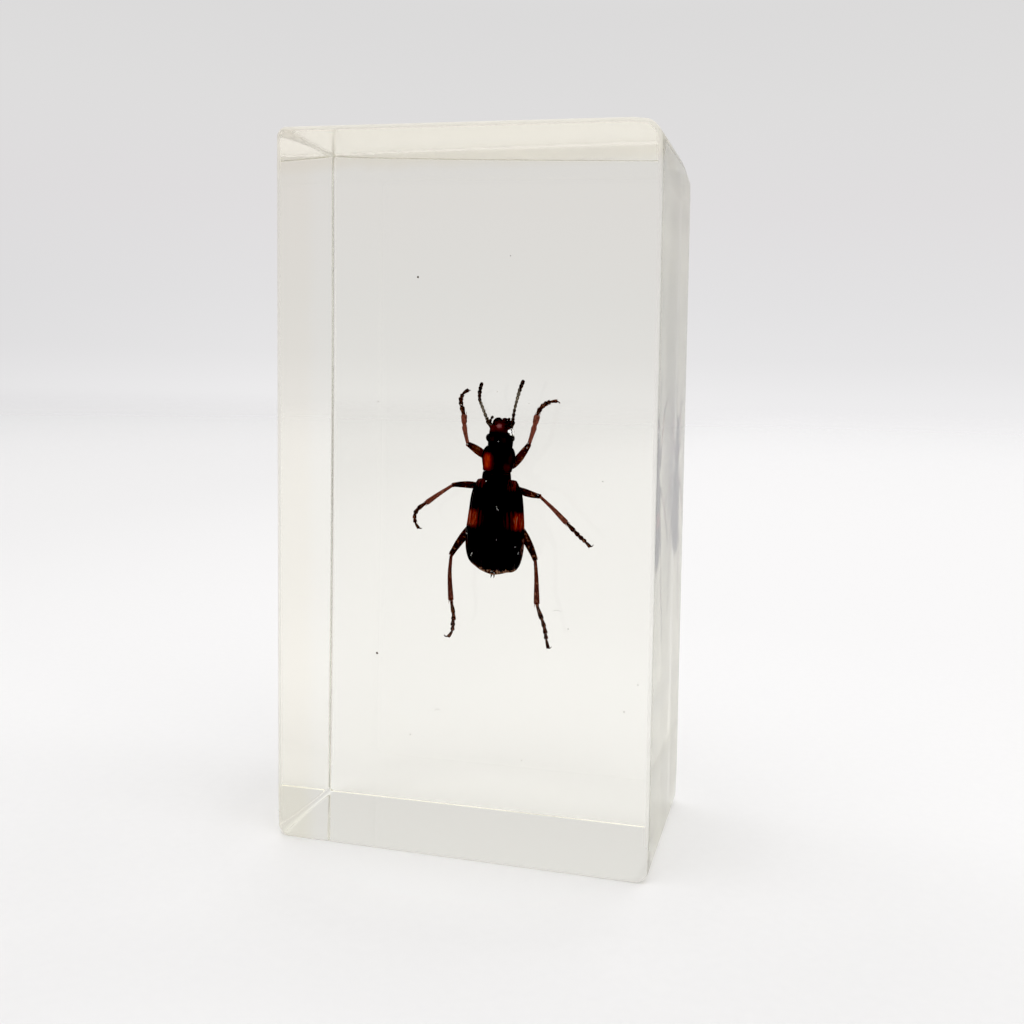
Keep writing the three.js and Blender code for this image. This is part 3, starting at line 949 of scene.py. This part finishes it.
for name, route in FEELERS.items():
    feeler = Shape()
    line = curve(route, 400)
    for i in range(11):
        a, b = line[int(JOINTS[i] * 399)], line[int(JOINTS[i + 1] * 399)]
        middle = line[int((JOINTS[i] + JOINTS[i + 1]) / 2 * 399)]
        wide, tone = WIDTH[i] * rng.uniform(0.95, 1.08), TONES[name][i]
        if i == 10:
            shape = [(0, wide * 0.8, wide * 0.7), (0.5, wide, wide * 0.8), (1, wide * 0.7, wide * 0.6)]
        else:
            shape = [(0, wide * 0.60, wide * 0.55), (0.35, wide * 0.80, wide * 0.68), (0.78, wide * 1.06, wide * 0.84), (1, wide * 0.88, wide * 0.7)]
        lap = (b - a) / np.linalg.norm(b - a) * wide * 0.36
        verts_, faces_ = limb(a - lap, b + lap * 0.9, shape, bow=middle - (a + b) / 2, steps=18, around=16)
        share = np.clip(((verts_ - a) @ lap) / ((b - a) @ lap), 0, 1)
        feeler.add(verts_, faces_, tone=np.clip(tone + 0.22 * (share - 0.5), 0, 1))
        # a fine coat of bristles
        for k in range(26 if i > 2 else 8):
            s = rng.uniform(0.1, 0.95)
            turn_ = rng.uniform(0, 2 * math.pi)
            d = (b - a) / np.linalg.norm(b - a)
            side = np.cross(d, (0, 0, 1))
            side /= np.linalg.norm(side)
            out_ = side * math.cos(turn_) + np.cross(side, d) * math.sin(turn_)
            root = a + (b - a) * s + out_ * wide * 0.7
            feeler.add(*thorn(root, root + (out_ * 0.6 + d) * 0.09, 0.014, steps=2, around=4), tone=tone)
    piece("beetle_feeler_" + name, feeler, feeler_made)

# ---------------------------------------------------------------------------------------------------------------------
# Thorax: the shield, the waist under it, and the scutellum between the wing cases
# ---------------------------------------------------------------------------------------------------------------------
SHIELD = [  # y, left, right, top, rim height
    (1.98, -1.66, 1.34, 0.66, 0.02),
    (2.12, -1.79, 1.46, 0.74, 0.02),
    (2.35, -1.80, 1.52, 0.82, 0.03),
    (2.65, -1.85, 1.60, 0.90, 0.05),
    (2.95, -1.91, 1.68, 0.95, 0.06),
    (3.25, -1.96, 1.75, 0.98, 0.07),
    (3.55, -1.98, 1.78, 0.98, 0.07),
    (3.85, -1.96, 1.76, 0.95, 0.06),
    (4.15, -1.88, 1.70, 0.90, 0.04),
    (4.42, -1.76, 1.60, 0.82, 0.02),
    (4.62, -1.60, 1.46, 0.73, 0.0),
    (4.78, -1.42, 1.30, 0.62, -0.02),
]
stations = np.array(SHIELD)
y = mix(1.98, 4.78, 0.5 - 0.5 * np.cos(np.linspace(0.01, math.pi - 0.01, 84)))
size = smooth(stations[:, 0], stations[:, 1:], y)
close = np.clip(np.minimum((y - 1.98) / 0.07, (4.78 - y) / 0.09), 0, 1)
close = np.sqrt(1 - (1 - close) ** 2)
rings = []
top_turn = np.linspace(0, math.pi, 130)
low_turn = np.linspace(math.pi, 2 * math.pi, 60)[1:-1]
for yy, (l, r, t, rim), k in zip(y, size, close):
    middle, half = (l + r) / 2, (r - l) / 2
    c, s = np.cos(top_turn), np.sin(top_turn)
    u = np.sign(c) * np.abs(c) ** 0.9
    dome = rim + (t - rim) * s**1.15
    bead = 0.055 * np.exp(-(((np.abs(u) - 0.955) / 0.03) ** 2)) - 0.035 * np.exp(-(((np.abs(u) - 0.88) / 0.05) ** 2))
    groove = -0.05 * np.exp(-(((u - 0.0) / 0.035) ** 2)) * np.exp(-(((yy - 3.4) / 1.0) ** 4))
    pits = -0.12 * np.exp(-(((np.abs(u) - 0.52) / 0.13) ** 2)) * np.exp(-(((yy - 2.25) / 0.24) ** 2))
    wrinkle = 0.007 * np.sin(yy * 42 + 2.5 * np.sin(u * 4)) * s
    z_top = dome + bead + groove + pits + wrinkle
    c2, s2 = np.cos(low_turn), np.sin(low_turn)
    z_low = rim - 0.12 + 0.86 * s2 * (1 - 0.35 * (np.abs(yy - 3.3) / 1.5) ** 2)
    u2 = np.sign(c2) * np.abs(c2) ** 0.8 * 0.985
    ring = np.concatenate([
        np.stack([middle + u * half, np.full(len(u), yy), z_top], -1),
        np.stack([middle + u2 * half, np.full(len(u2), yy), z_low], -1),
    ])
    centre = np.array([middle, yy, 0.1])
    rings.append(centre + (ring - centre) * np.array([0.9 + 0.1 * k, 1, k]))
shield = Shape().add(*loft(rings))
piece("beetle_thorax_shield", shield, thorax_made)

waist = Shape().add(*loft(body_rings(
    [(0.35, -1.62, 1.42, 0.45, -1.05), (0.9, -1.80, 1.46, 0.58, -1.08), (1.3, -1.84, 1.42, 0.62, -1.0), (1.7, -1.80, 1.38, 0.60, -0.92), (2.3, -1.5, 1.2, 0.4, -0.8)], 30, 64, m=2.6)))
# the breastbone, with its keel between the middle legs
waist.add(*loft(body_rings([(-2.6, -1.9, 2.0, 0.0, -1.36), (-1.2, -2.25, 2.25, 0.1, -1.42), (0.3, -1.9, 1.8, 0.0, -1.30), (1.2, -1.1, 0.9, -0.1, -1.08)], 30, 64, m=2.4)))
waist.add(*limb((0.0, 1.0, -1.02), (0.02, -2.3, -1.36), [(0, 0.16, 0.1), (0.5, 0.28, 0.16), (1, 0.2, 0.12)], steps=16))
piece("beetle_waist", waist, body_made)

scutellum = Shape()
v = np.linspace(0, 1, 16)
rings = []
for k in v:
    half = 0.36 * (1 - k) ** 0.8 + 0.015
    yy = 1.22 - 0.85 * k
    a = np.linspace(0, 2 * math.pi, 28, endpoint=False)
    edge = min(1.0, k / 0.12 + 0.15)
    rings.append(np.stack([half * np.cos(a) * edge, np.full(28, yy), 0.74 + 0.12 * k + 0.10 * np.sin(a) * edge], -1))
verts_, faces_ = loft(rings)
scutellum.add(verts_, [f[::-1] for f in faces_])
piece("beetle_scutellum", scutellum, thorax_made)

# ---------------------------------------------------------------------------------------------------------------------
# Wing cases: two thin ribbed shells, rounded at the shoulder, cut off square at the back
# ---------------------------------------------------------------------------------------------------------------------
def seam(y):
    return 0.15 * np.clip((0.6 - y) / 9.6, 0, 1) ** 1.5


CASES = {
    "left": dict(
        edge=[(-2.28, 1.00), (-2.58, 0.45), (-2.78, -0.12), (-2.92, -0.75), (-3.00, -1.40), (-3.05, -2.16), (-3.11, -2.83), (-3.16, -3.50), (-3.22, -4.10), (-3.25, -4.80), (-3.25, -5.50), (-3.21, -6.20), (-3.12, -6.80), (-2.97, -7.35), (-2.75, -7.85), (-2.46, -8.22)],
        apex=[(0.08, -8.86), (-0.16, -9.02), (-0.42, -9.10), (-0.80, -9.02), (-1.2, -8.86), (-1.7, -8.62), (-2.1, -8.42), (-2.46, -8.22)],
        base=[(-0.05, 0.50), (-0.30, 0.98), (-0.8, 1.14), (-1.3, 1.17), (-1.8, 1.14), (-2.28, 1.00)],
    ),
    "right": dict(
        edge=[(2.06, 1.20), (2.42, 0.62), (2.66, 0.10), (2.86, -0.45), (2.98, -1.05), (3.08, -1.75), (3.18, -2.45), (3.26, -3.15), (3.33, -3.85), (3.38, -4.60), (3.42, -5.40), (3.42, -6.10), (3.36, -6.80), (3.25, -7.45), (3.08, -8.02), (2.82, -8.48)],
        apex=[(0.22, -8.86), (0.5, -9.02), (0.85, -9.10), (1.13, -9.08), (1.5, -8.93), (2.0, -8.86), (2.45, -8.76), (2.82, -8.48)],
        base=[(0.05, 0.50), (0.30, 1.02), (0.75, 1.18), (1.2, 1.24), (1.65, 1.27), (2.06, 1.20)],
    ),
}
ROWS, COLS, RIBS = 130, 112, 8


def even(points, t):
    """A smooth flat curve through points, read at t from 0 to 1 along its length."""
    fine = curve([(a, b, 0) for a, b in points], 300)[:, :2]
    return np.stack([np.interp(t, np.linspace(0, 1, 300), fine[:, k]) for k in range(2)], -1)


for name, case in CASES.items():
    v = np.linspace(0, 1, ROWS)
    v = mix(v, 0.5 - 0.5 * np.cos(v * math.pi), 0.35)
    u = np.sin(np.linspace(0, math.pi / 2, COLS)) ** 1.0
    u = mix(np.linspace(0, 1, COLS), u, 0.6)
    seam_y = mix(case["base"][0][1], case["apex"][0][1], v)
    inner_edge = np.stack([seam(seam_y) + (-0.012 if name == "left" else 0.012), seam_y], -1)
    outer_edge, base, apex = even(case["edge"], v), even(case["base"], u), even(case["apex"], u)
    inner_edge[0], inner_edge[-1] = base[0], apex[0]
    V, U = v[:, None, None], u[None, :, None]
    flat = (
        (1 - U) * inner_edge[:, None]
        + U * outer_edge[:, None]
        + (1 - V) * base[None]
        + V * apex[None]
        - ((1 - U) * (1 - V) * base[0] + U * (1 - V) * base[-1] + (1 - U) * V * apex[0] + U * V * apex[-1])
    )
    crown = smooth([0, 0.04, 0.12, 0.3, 0.55, 0.8, 0.93, 1], [0.62, 0.84, 1.08, 1.30, 1.36, 1.08, 0.76, 0.56], v)
    U2, V2 = u[None], v[:, None]
    rim = -0.06
    dome = rim + (crown[:, None] - rim) * (1 - U2**2.5) ** 0.72
    fade_ = np.clip(V2 / 0.05, 0, 1) * np.clip((1 - V2) / 0.05, 0, 1)
    wave = 0.5 + 0.5 * np.cos(2 * math.pi * RIBS * (U2 + 0.004 * np.sin(9 * V2)))
    rib_ = wave**1.6
    dome = dome + 0.055 * (rib_ - 0.35) * fade_ * np.clip((0.985 - U2) / 0.05, 0, 1)
    # punctures along the furrows, shoulder knob, shallow dents left by drying, and a raised outer margin
    dome = dome - 0.012 * (1 - wave) ** 3 * (0.5 + 0.5 * np.sin(2 * math.pi * 52 * V2)) * fade_
    dome = dome + 0.16 * np.exp(-(((U2 - 0.78) / 0.12) ** 2) - (((V2 - 0.05) / 0.05) ** 2))
    dome = dome + 0.018 * np.sin(5 * U2 + 3 * V2 * math.pi) * np.sin(7 * V2 + 1.3) * fade_
    dome = dome + 0.05 * np.exp(-(((U2 - 0.975) / 0.014) ** 2))
    outer = np.concatenate([flat, dome[..., None]], -1)
    # The inside of the shell, and the edge folded under
    thick = 0.11
    pick = np.linspace(COLS - 1, 0, 26).astype(int)
    inner = outer[:, pick].copy()
    shrink = mix(flat[:, :1], flat[:, pick], 0.965)
    inner[..., :2] = shrink
    inner[..., 2] = (rim + (crown[:, None] - rim) * (1 - U2**2.5) ** 0.72)[:, pick] - thick - 0.05
    inner[..., 2] = np.maximum(inner[..., 2], rim - 0.24)
    fold = outer[:, -1:].copy()
    fold[..., 2] = rim - 0.16
    fold[..., :2] = mix(flat[:, :1], flat[:, -1:], 0.992)
    rings = np.concatenate([outer, fold, inner], 1)
    ribs = np.concatenate([rib_ * np.ones((ROWS, COLS)), np.zeros((ROWS, 27))], 1)
    # pale horny margin along the cut-off end, ragged
    rag = 0.971 + 0.010 * np.sin(U2 * 21 + (2 if name == "left" else 0)) + 0.007 * np.sin(U2 * 57)
    margin = np.clip((V2 - rag) / 0.008, 0, 1) * np.clip((U2 - 0.02) / 0.06, 0, 1)
    tone = np.concatenate([margin * np.ones((ROWS, COLS)), np.zeros((ROWS, 27))], 1)
    verts_, faces_ = loft(rings)
    if name == "left":
        faces_ = [f[::-1] for f in faces_]
    wing = Shape().add(
        verts_, faces_, tone=np.concatenate([tone.ravel(), [0, 0]]), rib=np.concatenate([ribs.ravel(), [0, 0]])
    )
    piece("beetle_wing_case_" + name, wing, wing_made)

# ---------------------------------------------------------------------------------------------------------------------
# Hind body under the wing cases, with its overlapping belly plates, and the two prongs at its tip
# ---------------------------------------------------------------------------------------------------------------------
BELLY = [
    (-9.34, -0.10, 0.42, 0.30, -0.12),
    (-9.18, -0.62, 0.98, 0.34, -0.30),
    (-8.85, -1.50, 1.90, 0.40, -0.52),
    (-8.35, -2.15, 2.62, 0.46, -0.76),
    (-7.60, -2.72, 3.02, 0.52, -1.00),
    (-6.50, -3.05, 3.22, 0.58, -1.22),
    (-5.20, -3.10, 3.24, 0.62, -1.36),
    (-3.80, -3.02, 3.14, 0.64, -1.44),
    (-2.20, -2.88, 2.96, 0.62, -1.48),
    (-0.80, -2.66, 2.66, 0.56, -1.42),
    (0.40, -2.10, 2.00, 0.40, -1.16),
]
rings = body_rings(BELLY, 150, 120, m=2.3, front=0.5, back=0.2)
x, y, z = rings[..., 0], rings[..., 1], rings[..., 2]
under = np.clip(-z / 0.5, 0, 1)
arch = y + 0.10 * x**2 / 3
plates = [-2.7, -3.95, -5.0, -5.95, -6.8, -7.55, -8.2]
step = np.zeros_like(z)
for at in plates:
    d = arch - at
    step += 0.055 * np.exp(-np.clip(-d, 0, 9) / 0.5) * (d < 0) + 0.055 * np.exp(-np.clip(d, 0, 9) / 0.03) * (d >= 0)
rings[..., 2] = z - under * (step - 0.03) - under * 0.008 * np.sin(x * 9 + y * 7)
verts_, faces_ = loft(rings)
y_, x_ = verts_[:, 1], verts_[:, 0]
tip = np.clip((-9.12 - y_ - 0.02 * np.sin(x_ * 14)) / 0.12, 0, 1)
belly = Shape().add(verts_, faces_, tone=tip * 0.75)
for root, end in (((0.03, -9.2, 0.05), (-0.06, -9.74, 0.0)), ((0.29, -9.2, 0.05), (0.30, -9.72, 0.0))):
    belly.add(*thorn(root, end, 0.20, bow=(0.02, 0, 0), steps=10, around=12))
piece("beetle_hind_body", belly, body_made)

# ---------------------------------------------------------------------------------------------------------------------
# Legs
# ---------------------------------------------------------------------------------------------------------------------
LEGS = {
    "front_left": dict(
        coxa=(-0.95, 3.05, -0.72), trochanter=(-1.35, 3.25, -0.95), leg=[(-1.5, 3.35, -0.85), (-3.69, 4.70, -0.10), (-4.25, 6.39, -0.50), (-4.48, 7.83, -0.80)],
        tarsus=[(-4.48, 7.80, -0.80), (-4.82, 8.69, -0.95), (-4.99, 9.33, -1.00), (-4.87, 9.88, -1.00), (-4.46, 10.37, -0.95), (-4.16, 10.51, -0.90)],
        femur=0.47, tibia=0.26, claw=(-3.93, 10.50, -0.95), notch=1, bow=0.05,
    ),
    "front_right": dict(
        coxa=(0.72, 3.0, -0.72), trochanter=(1.02, 2.75, -0.95), leg=[(1.15, 2.45, -0.95), (3.13, 5.20, -0.10), (3.45, 6.68, -0.40), (3.70, 8.38, -0.90)],
        tarsus=[(3.71, 8.36, -0.90), (3.85, 8.91, -1.05), (4.16, 9.39, -1.20), (4.60, 9.74, -1.30), (5.13, 9.96, -1.35), (5.70, 10.04, -1.30)],
        femur=0.45, tibia=0.27, claw=(6.03, 9.78, -1.15), notch=1, bow=0.06,
    ),
    "middle_left": dict(
        coxa=(-1.05, 0.15, -1.20), trochanter=(-1.6, 0.1, -1.30), leg=[(-1.8, 0.15, -1.15), (-5.10, 0.07, -0.20), (-7.03, -1.35, -0.50), (-8.17, -2.25, -0.80)],
        tarsus=[(-8.14, -2.23, -0.80), (-8.67, -2.60, -0.90), (-9.20, -3.11, -1.00), (-9.47, -3.69, -1.05), (-9.44, -4.25, -1.05), (-9.22, -4.79, -1.00), (-8.89, -5.15, -0.95)],
        femur=0.39, tibia=0.225, claw=(-8.50, -5.07, -0.85), notch=0, bow=0.12,
    ),
    "middle_right": dict(
        coxa=(1.05, 0.15, -1.20), trochanter=(1.5, 0.2, -1.30), leg=[(1.7, 0.34, -1.15), (4.74, -0.25, -0.20), (6.25, -1.48, -0.50), (7.80, -2.90, -0.90)],
        tarsus=[(7.78, -2.88, -0.90), (8.33, -3.37, -1.00), (8.84, -3.83, -1.10), (9.37, -4.28, -1.15), (9.93, -4.70, -1.20), (10.52, -5.23, -1.20)],
        femur=0.41, tibia=0.225, claw=(10.86, -4.90, -1.10), notch=0, bow=0.1,
    ),
    "hind_left": dict(
        coxa=(-1.1, -2.5, -1.34), trochanter=(-1.8, -3.15, -1.42), leg=[(-1.9, -3.3, -1.30), (-4.79, -7.65, -0.30), (-4.87, -9.42, -0.50), (-4.61, -12.92, -1.00)],
        tarsus=[(-4.60, -12.88, -1.00), (-4.36, -13.83, -1.10), (-4.19, -14.79, -1.15), (-4.23, -15.42, -1.15), (-4.22, -15.99, -1.15), (-4.36, -16.57, -1.10), (-4.67, -17.01, -1.05)],
        femur=0.48, tibia=0.245, claw=(-5.15, -16.77, -0.95), notch=0, bow=0.18,
    ),
    "hind_right": dict(
        coxa=(1.1, -2.5, -1.34), trochanter=(1.7, -2.9, -1.42), leg=[(1.75, -3.1, -1.30), (4.74, -7.18, -0.30), (4.95, -8.87, -0.50), (5.18, -12.20, -1.00)],
        tarsus=[(5.20, -12.2, -1.00), (5.56, -13.08, -1.10), (5.92, -13.88, -1.15), (6.25, -14.79, -1.20), (6.41, -15.44, -1.20), (6.57, -16.09, -1.15), (6.83, -16.85, -1.10)],
        femur=0.49, tibia=0.25, claw=(7.20, -16.58, -1.0), notch=0, bow=-0.22,
    ),
}
TARSUS = {  # where each of the five segments ends, and its half width
    True: ([0, 0.30, 0.47, 0.61, 0.73, 1.0], [0.27, 0.275, 0.27, 0.26, 0.22]),
    False: ([0, 0.34, 0.52, 0.67, 0.79, 1.0], [0.24, 0.25, 0.245, 0.24, 0.21]),
}
for name, leg in LEGS.items():
    made_ = Shape()
    coxa, trochanter = np.array(leg["coxa"], float), np.array(leg["trochanter"], float)
    root, knee, shin, ankle = (np.array(p, float) for p in leg["leg"])
    wide, thin = leg["femur"], leg["tibia"]
    side = -1 if "left" in name else 1
    # hip, then the thigh, thickest before its middle
    made_.add(*limb(coxa - (trochanter - coxa) * 0.5, trochanter, [(0, 0.34, 0.3), (0.5, 0.40, 0.34), (1, 0.26, 0.24)], steps=16, around=24), tone=0.2)
    made_.add(*limb(trochanter - (root - trochanter) * 0.6, root + (knee - root) * 0.10, [(0, 0.2, 0.2), (0.5, 0.26, 0.24), (1, 0.2, 0.18)], steps=16, around=20), tone=0.2)
    d = (knee - root) / np.linalg.norm(knee - root)
    across = np.cross(d, (0, 0, 1))
    across /= np.linalg.norm(across)
    bow = across * leg["bow"]
    verts_, faces_ = limb(
        root, knee + d * 0.1,
        [(0, wide * 0.55, wide * 0.5), (0.18, wide * 0.88, wide * 0.78), (0.42, wide, wide * 0.86), (0.7, wide * 0.86, wide * 0.76), (0.9, wide * 0.66, wide * 0.62), (1, wide * 0.62, wide * 0.58)],
        bow=bow, steps=44, around=28, flutes=5, flute=0.02,
    )
    share = np.clip(((verts_ - root) @ d) / np.linalg.norm(knee - root), 0, 1)
    made_.add(verts_, faces_, tone=0.2 + 0.14 * np.sin(share * math.pi) ** 2 * (1.0 if name == "front_left" else 0.6 if "front" in name else 0.25))
    # knee lobes on both sides of the joint
    for s in (-1, 1):
        made_.add(*limb(knee + across * s * wide * 0.4 - d * 0.16, knee + across * s * wide * 0.36 + d * 0.16, [(0, 0.07, 0.1), (0.5, 0.1, 0.14), (1, 0.06, 0.09)], steps=12, around=12), tone=0.5)
    # shin: one smooth curve through the middle point, widening to the ankle, grooved along its length
    path = curve([knee, shin, ankle], 46)
    t = np.linspace(0, 1, 46)
    w_ = smooth([0, 0.05, 0.2, 0.6, 0.9, 1], [thin * 0.70, thin * 0.72, thin * 0.78, thin * 1.04, thin * 1.24, thin * 1.28], t)
    cap = np.sqrt(1 - (1 - np.clip(np.minimum(t, 1 - t) / 0.03, 0.04, 1)) ** 2)
    if leg["notch"]:  # the feeler comb: a bite out of the shin's inner side, with a spur over it
        w_ = w_ * (1 - 0.28 * np.exp(-(((t - 0.66) / 0.06) ** 2)) + 0.10 * np.exp(-(((t - 0.54) / 0.06) ** 2)))
    verts_, faces_ = tube(path, w_ * cap, w_ * cap * 0.82, 24, flutes=6, flute=0.05)
    far = np.concatenate([np.repeat(t, 24), [0, 1]])
    made_.add(verts_, faces_, tone=0.6 if "front" in name else 0.56 if "middle" in name else 0.47)
    down = (ankle - shin) / np.linalg.norm(ankle - shin)
    cross = np.cross(down, (0, 0, 1))
    cross /= np.linalg.norm(cross)
    for s in (-1, 1):
        made_.add(*thorn(ankle - down * 0.05 + cross * s * thin * 0.8, ankle + down * 0.34 + cross * s * (thin * 0.8 + 0.10), 0.085, steps=8, around=8), tone=0.7)
    if leg["notch"]:
        at = path[int(0.56 * 45)]
        made_.add(*thorn(at + cross * side * -0.16, at + cross * side * -0.30 + down * 0.36, 0.09), tone=0.6)
    # bristles in rows along the shin
    for k in range(34):
        i = 4 + int(k * 40 / 34)
        turn_ = k * 2.4
        out_ = cross * math.cos(turn_) + np.cross(cross, down) * math.sin(turn_)
        start = path[i] + out_ * w_[i] * 0.85
        made_.add(*thorn(start, start + (out_ * 0.7 + down) * 0.17, 0.026, steps=3, around=5), tone=0.6)
    # five foot segments, each flared at its far end, with spines beside the joints, then the two claws
    line = curve(leg["tarsus"], 300)
    cuts, widths = TARSUS["front" in name]
    for i in range(5):
        a, b = line[int(cuts[i] * 299)], line[int(cuts[i + 1] * 299)]
        middle = line[int((cuts[i] + cuts[i + 1]) / 2 * 299)]
        w_i = widths[i] * rng.uniform(0.94, 1.08)
        shape = (
            [(0, w_i * 0.56, w_i * 0.52), (0.4, w_i * 0.80, w_i * 0.7), (0.82, w_i * 1.08, w_i * 0.9), (1, w_i * 0.88, w_i * 0.7)]
            if i < 4
            else [(0, w_i * 0.5, w_i * 0.5), (0.6, w_i * 0.85, w_i * 0.75), (1, w_i * 1.02, w_i * 0.85)]
        )
        d = (b - a) / np.linalg.norm(b - a)
        verts_, faces_ = limb(a - d * w_i * 0.36, b + d * w_i * 0.24, shape, bow=middle - (a + b) / 2, steps=20, around=16)
        share = np.clip(((verts_ - a) @ d) / np.linalg.norm(b - a), 0, 1)
        made_.add(verts_, faces_, tone=0.76 + 0.24 * share**1.5)
        cross = np.cross(d, (0, 0, 1))
        cross /= np.linalg.norm(cross)
        for s in (-1, 1):
            made_.add(*thorn(b - d * 0.06 + cross * s * w_i * 0.7, b + d * 0.12 + cross * s * (w_i + 0.03), 0.04, steps=3, around=5), tone=0.9)
            for k in range(3):
                start = mix(a, b, 0.3 + 0.22 * k) + cross * s * w_i * 0.6 - np.array([0, 0, 0.05])
                made_.add(*thorn(start, start + d * 0.1 + cross * s * 0.05 - np.array([0, 0, 0.05]), 0.022, steps=2, around=4), tone=0.9)
    end, claw = line[-1], np.array(leg["claw"], float)
    before = line[-16]
    d = (end - before) / np.linalg.norm(end - before)
    hook = claw - end
    for s in (-1, 1):
        shift = np.array([0, 0, 0.10 * s])
        aim = claw + shift * 1.6
        bow_ = d * 0.12 * np.linalg.norm(hook) * 2.2 + shift * 0.4
        made_.add(*thorn(end - d * 0.05 + shift * 0.4, aim, 0.13, bow=bow_, steps=12, around=8), tone=0.85)
    piece("beetle_leg_" + name, made_, leg_made)

# ---------------------------------------------------------------------------------------------------------------------
# Flakes of air film caught on the beetle, painted near white as a painted glint, with a painted glow on the ones by the
# right eye: place, half lengths along X, Y, Z, and turn
# ---------------------------------------------------------------------------------------------------------------------
painted_glint_made, n, shader, out = material("air_film_painted_glint")
# Painted highlight: the flakes are painted near white for the air film's glint, and the ones with tone 1 glow.
shader.inputs["Emission Color"].default_value = (1, 1, 1, 1)
n.put(shader.inputs["Emission Strength"], n.maths("MULTIPLY", n.attribute("tone"), 0.75))
place = n.node("ShaderNodeTexCoord").outputs["Object"]
n.put(shader.inputs["Base Color"], n.mix(n.fade(n.noise(place, 7000.0, 3.0), 0.35, 0.65), srgb(150, 156, 166), srgb(250, 250, 250)))
shader.inputs["Roughness"].default_value = 0.5
shader.inputs["IOR"].default_value = 1.1
FLAKES = [
    ((1.07, 6.48, 0.88), (0.19, 0.18, 0.05), 0.3),
    ((1.22, 6.22, 0.86), (0.08, 0.18, 0.04), 0.25),
    ((1.40, 6.62, 0.72), (0.035, 0.20, 0.03), 0.5),
    ((1.50, 6.28, 0.66), (0.03, 0.22, 0.03), -0.1),
    ((0.40, -1.95, 1.52), (0.045, 0.11, 0.03), 0.5),
    ((0.30, -1.72, 1.52), (0.04, 0.06, 0.03), 0.0),
    ((0.52, -2.05, 1.50), (0.03, 0.07, 0.03), -0.4),
    ((-2.20, -7.14, 1.06), (0.045, 0.13, 0.03), -0.35),
    ((-2.30, -7.36, 1.02), (0.07, 0.045, 0.03), 0.2),
    ((-3.00, -5.02, 0.66), (0.09, 0.05, 0.04), -0.5),
    ((2.96, -6.60, 0.72), (0.035, 0.17, 0.04), -0.25),
    ((2.60, -5.92, 1.02), (0.10, 0.04, 0.03), 0.5),
    ((0.55, -5.30, 1.50), (0.025, 0.05, 0.02), 0.9),
    ((-1.12, 0.92, 1.08), (0.07, 0.06, 0.03), 0.3),
    ((-1.40, 1.98, 0.90), (0.09, 0.03, 0.03), 0.1),
    ((-0.12, 5.28, 0.80), (0.08, 0.05, 0.03), 0.3),
    ((0.62, 7.60, 0.30), (0.05, 0.025, 0.02), -0.3),
    ((0.10, -8.92, 0.52), (0.14, 0.05, 0.04), 0.4),
    ((0.38, -9.06, 0.50), (0.10, 0.05, 0.04), -0.3),
    ((3.10, 5.38, 0.40), (0.06, 0.10, 0.04), -0.2),
    ((3.02, 4.86, 0.40), (0.04, 0.08, 0.04), 0.2),
    ((-3.62, 4.70, 0.42), (0.08, 0.04, 0.03), 0.2),
    ((4.55, -0.10, 0.22), (0.10, 0.04, 0.03), -0.3),
]
flakes = Shape()
for place, half, turn_ in FLAKES:
    p, f, _ = ball((0, 0, 0), half, rings=8, around=12)
    p = p * (1 + 0.22 * rng.uniform(-1, 1, (len(p), 1)))
    c, s_ = math.cos(turn_), math.sin(turn_)
    p = p @ np.array([[c, s_, 0], [-s_, c, 0], [0, 0, 1]]) + np.array(place)
    # tone 1 marks the flakes by the right eye, which glow as a painted highlight
    flakes.add(p, [face[::-1] for face in f], tone=1.0 if 6.2 < place[1] < 7.0 and place[0] > 0 else 0.0)
piece("painted_glint_flakes", flakes, painted_glint_made)

# ---------------------------------------------------------------------------------------------------------------------
# Dust sealed in the resin
# ---------------------------------------------------------------------------------------------------------------------
dust_made, n, shader, out = material("dust")
place = n.node("ShaderNodeTexCoord").outputs["Object"]
n.put(shader.inputs["Base Color"], n.mix(n.noise(place, 9000.0, 3.0), srgb(104, 95, 88), srgb(160, 150, 140)))
shader.inputs["Roughness"].default_value = 0.8
shader.inputs["IOR"].default_value = 1.1
dust = []
SPECKS = [  # place in the block, size
    ((-6.89, -2.0, 60.08), 0.11),
    ((-12.82, 5.0, 18.4), 0.13),
    ((9.91, 0.0, 23.51), 0.06),
    ((15.87, 3.0, 14.57), 0.06),
    ((17.8, -3.0, 18.66), 0.05),
    ((2.6, 1.0, 62.4), 0.05),
    ((12.9, 2.0, 39.2), 0.05),
    ((-11.0, -3.0, 47.0), 0.05),
    ((-9.0, 6.5, 9.0), 0.06),
    ((6.0, -5.0, 9.8), 0.05),
]
verts, faces, count = [], [], 0
for place, size in SPECKS:
    p, f, _ = ball((0, 0, 0), (size, size * 0.7, size * 0.8), rings=8, around=12)
    p = p * (1 + 0.35 * rng.uniform(-1, 1, (len(p), 1)))
    turn_ = rng.uniform(0, 2 * math.pi)
    c, s = math.cos(turn_), math.sin(turn_)
    p = p @ np.array([[c, 0, s], [0, 1, 0], [-s, 0, c]]) + np.array(place)
    verts.append(p)
    faces += [tuple(count + i for i in face) for face in f]
    count += len(p)
for ends in (((7.9, 2.0, 25.0), (8.3, 2.1, 25.16), (8.75, 2.3, 25.05)), ((-4.0, -4.0, 14.0), (-3.6, -4.1, 14.3), (-3.3, -4.0, 14.1))):
    p, f = tube(curve(ends, 16), np.full(16, 0.012), np.full(16, 0.012), 6)
    verts.append(p)
    faces += [tuple(count + i for i in face) for face in f]
    count += len(p)
mesh = bpy.data.meshes.new("dust_specks")
mesh.from_pydata((np.concatenate(verts) * MM).tolist(), [], faces)
mesh.materials.append(dust_made)
specks = bpy.data.objects.new("dust_specks", mesh)
scene.collection.objects.link(specks)
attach(specks, "root")
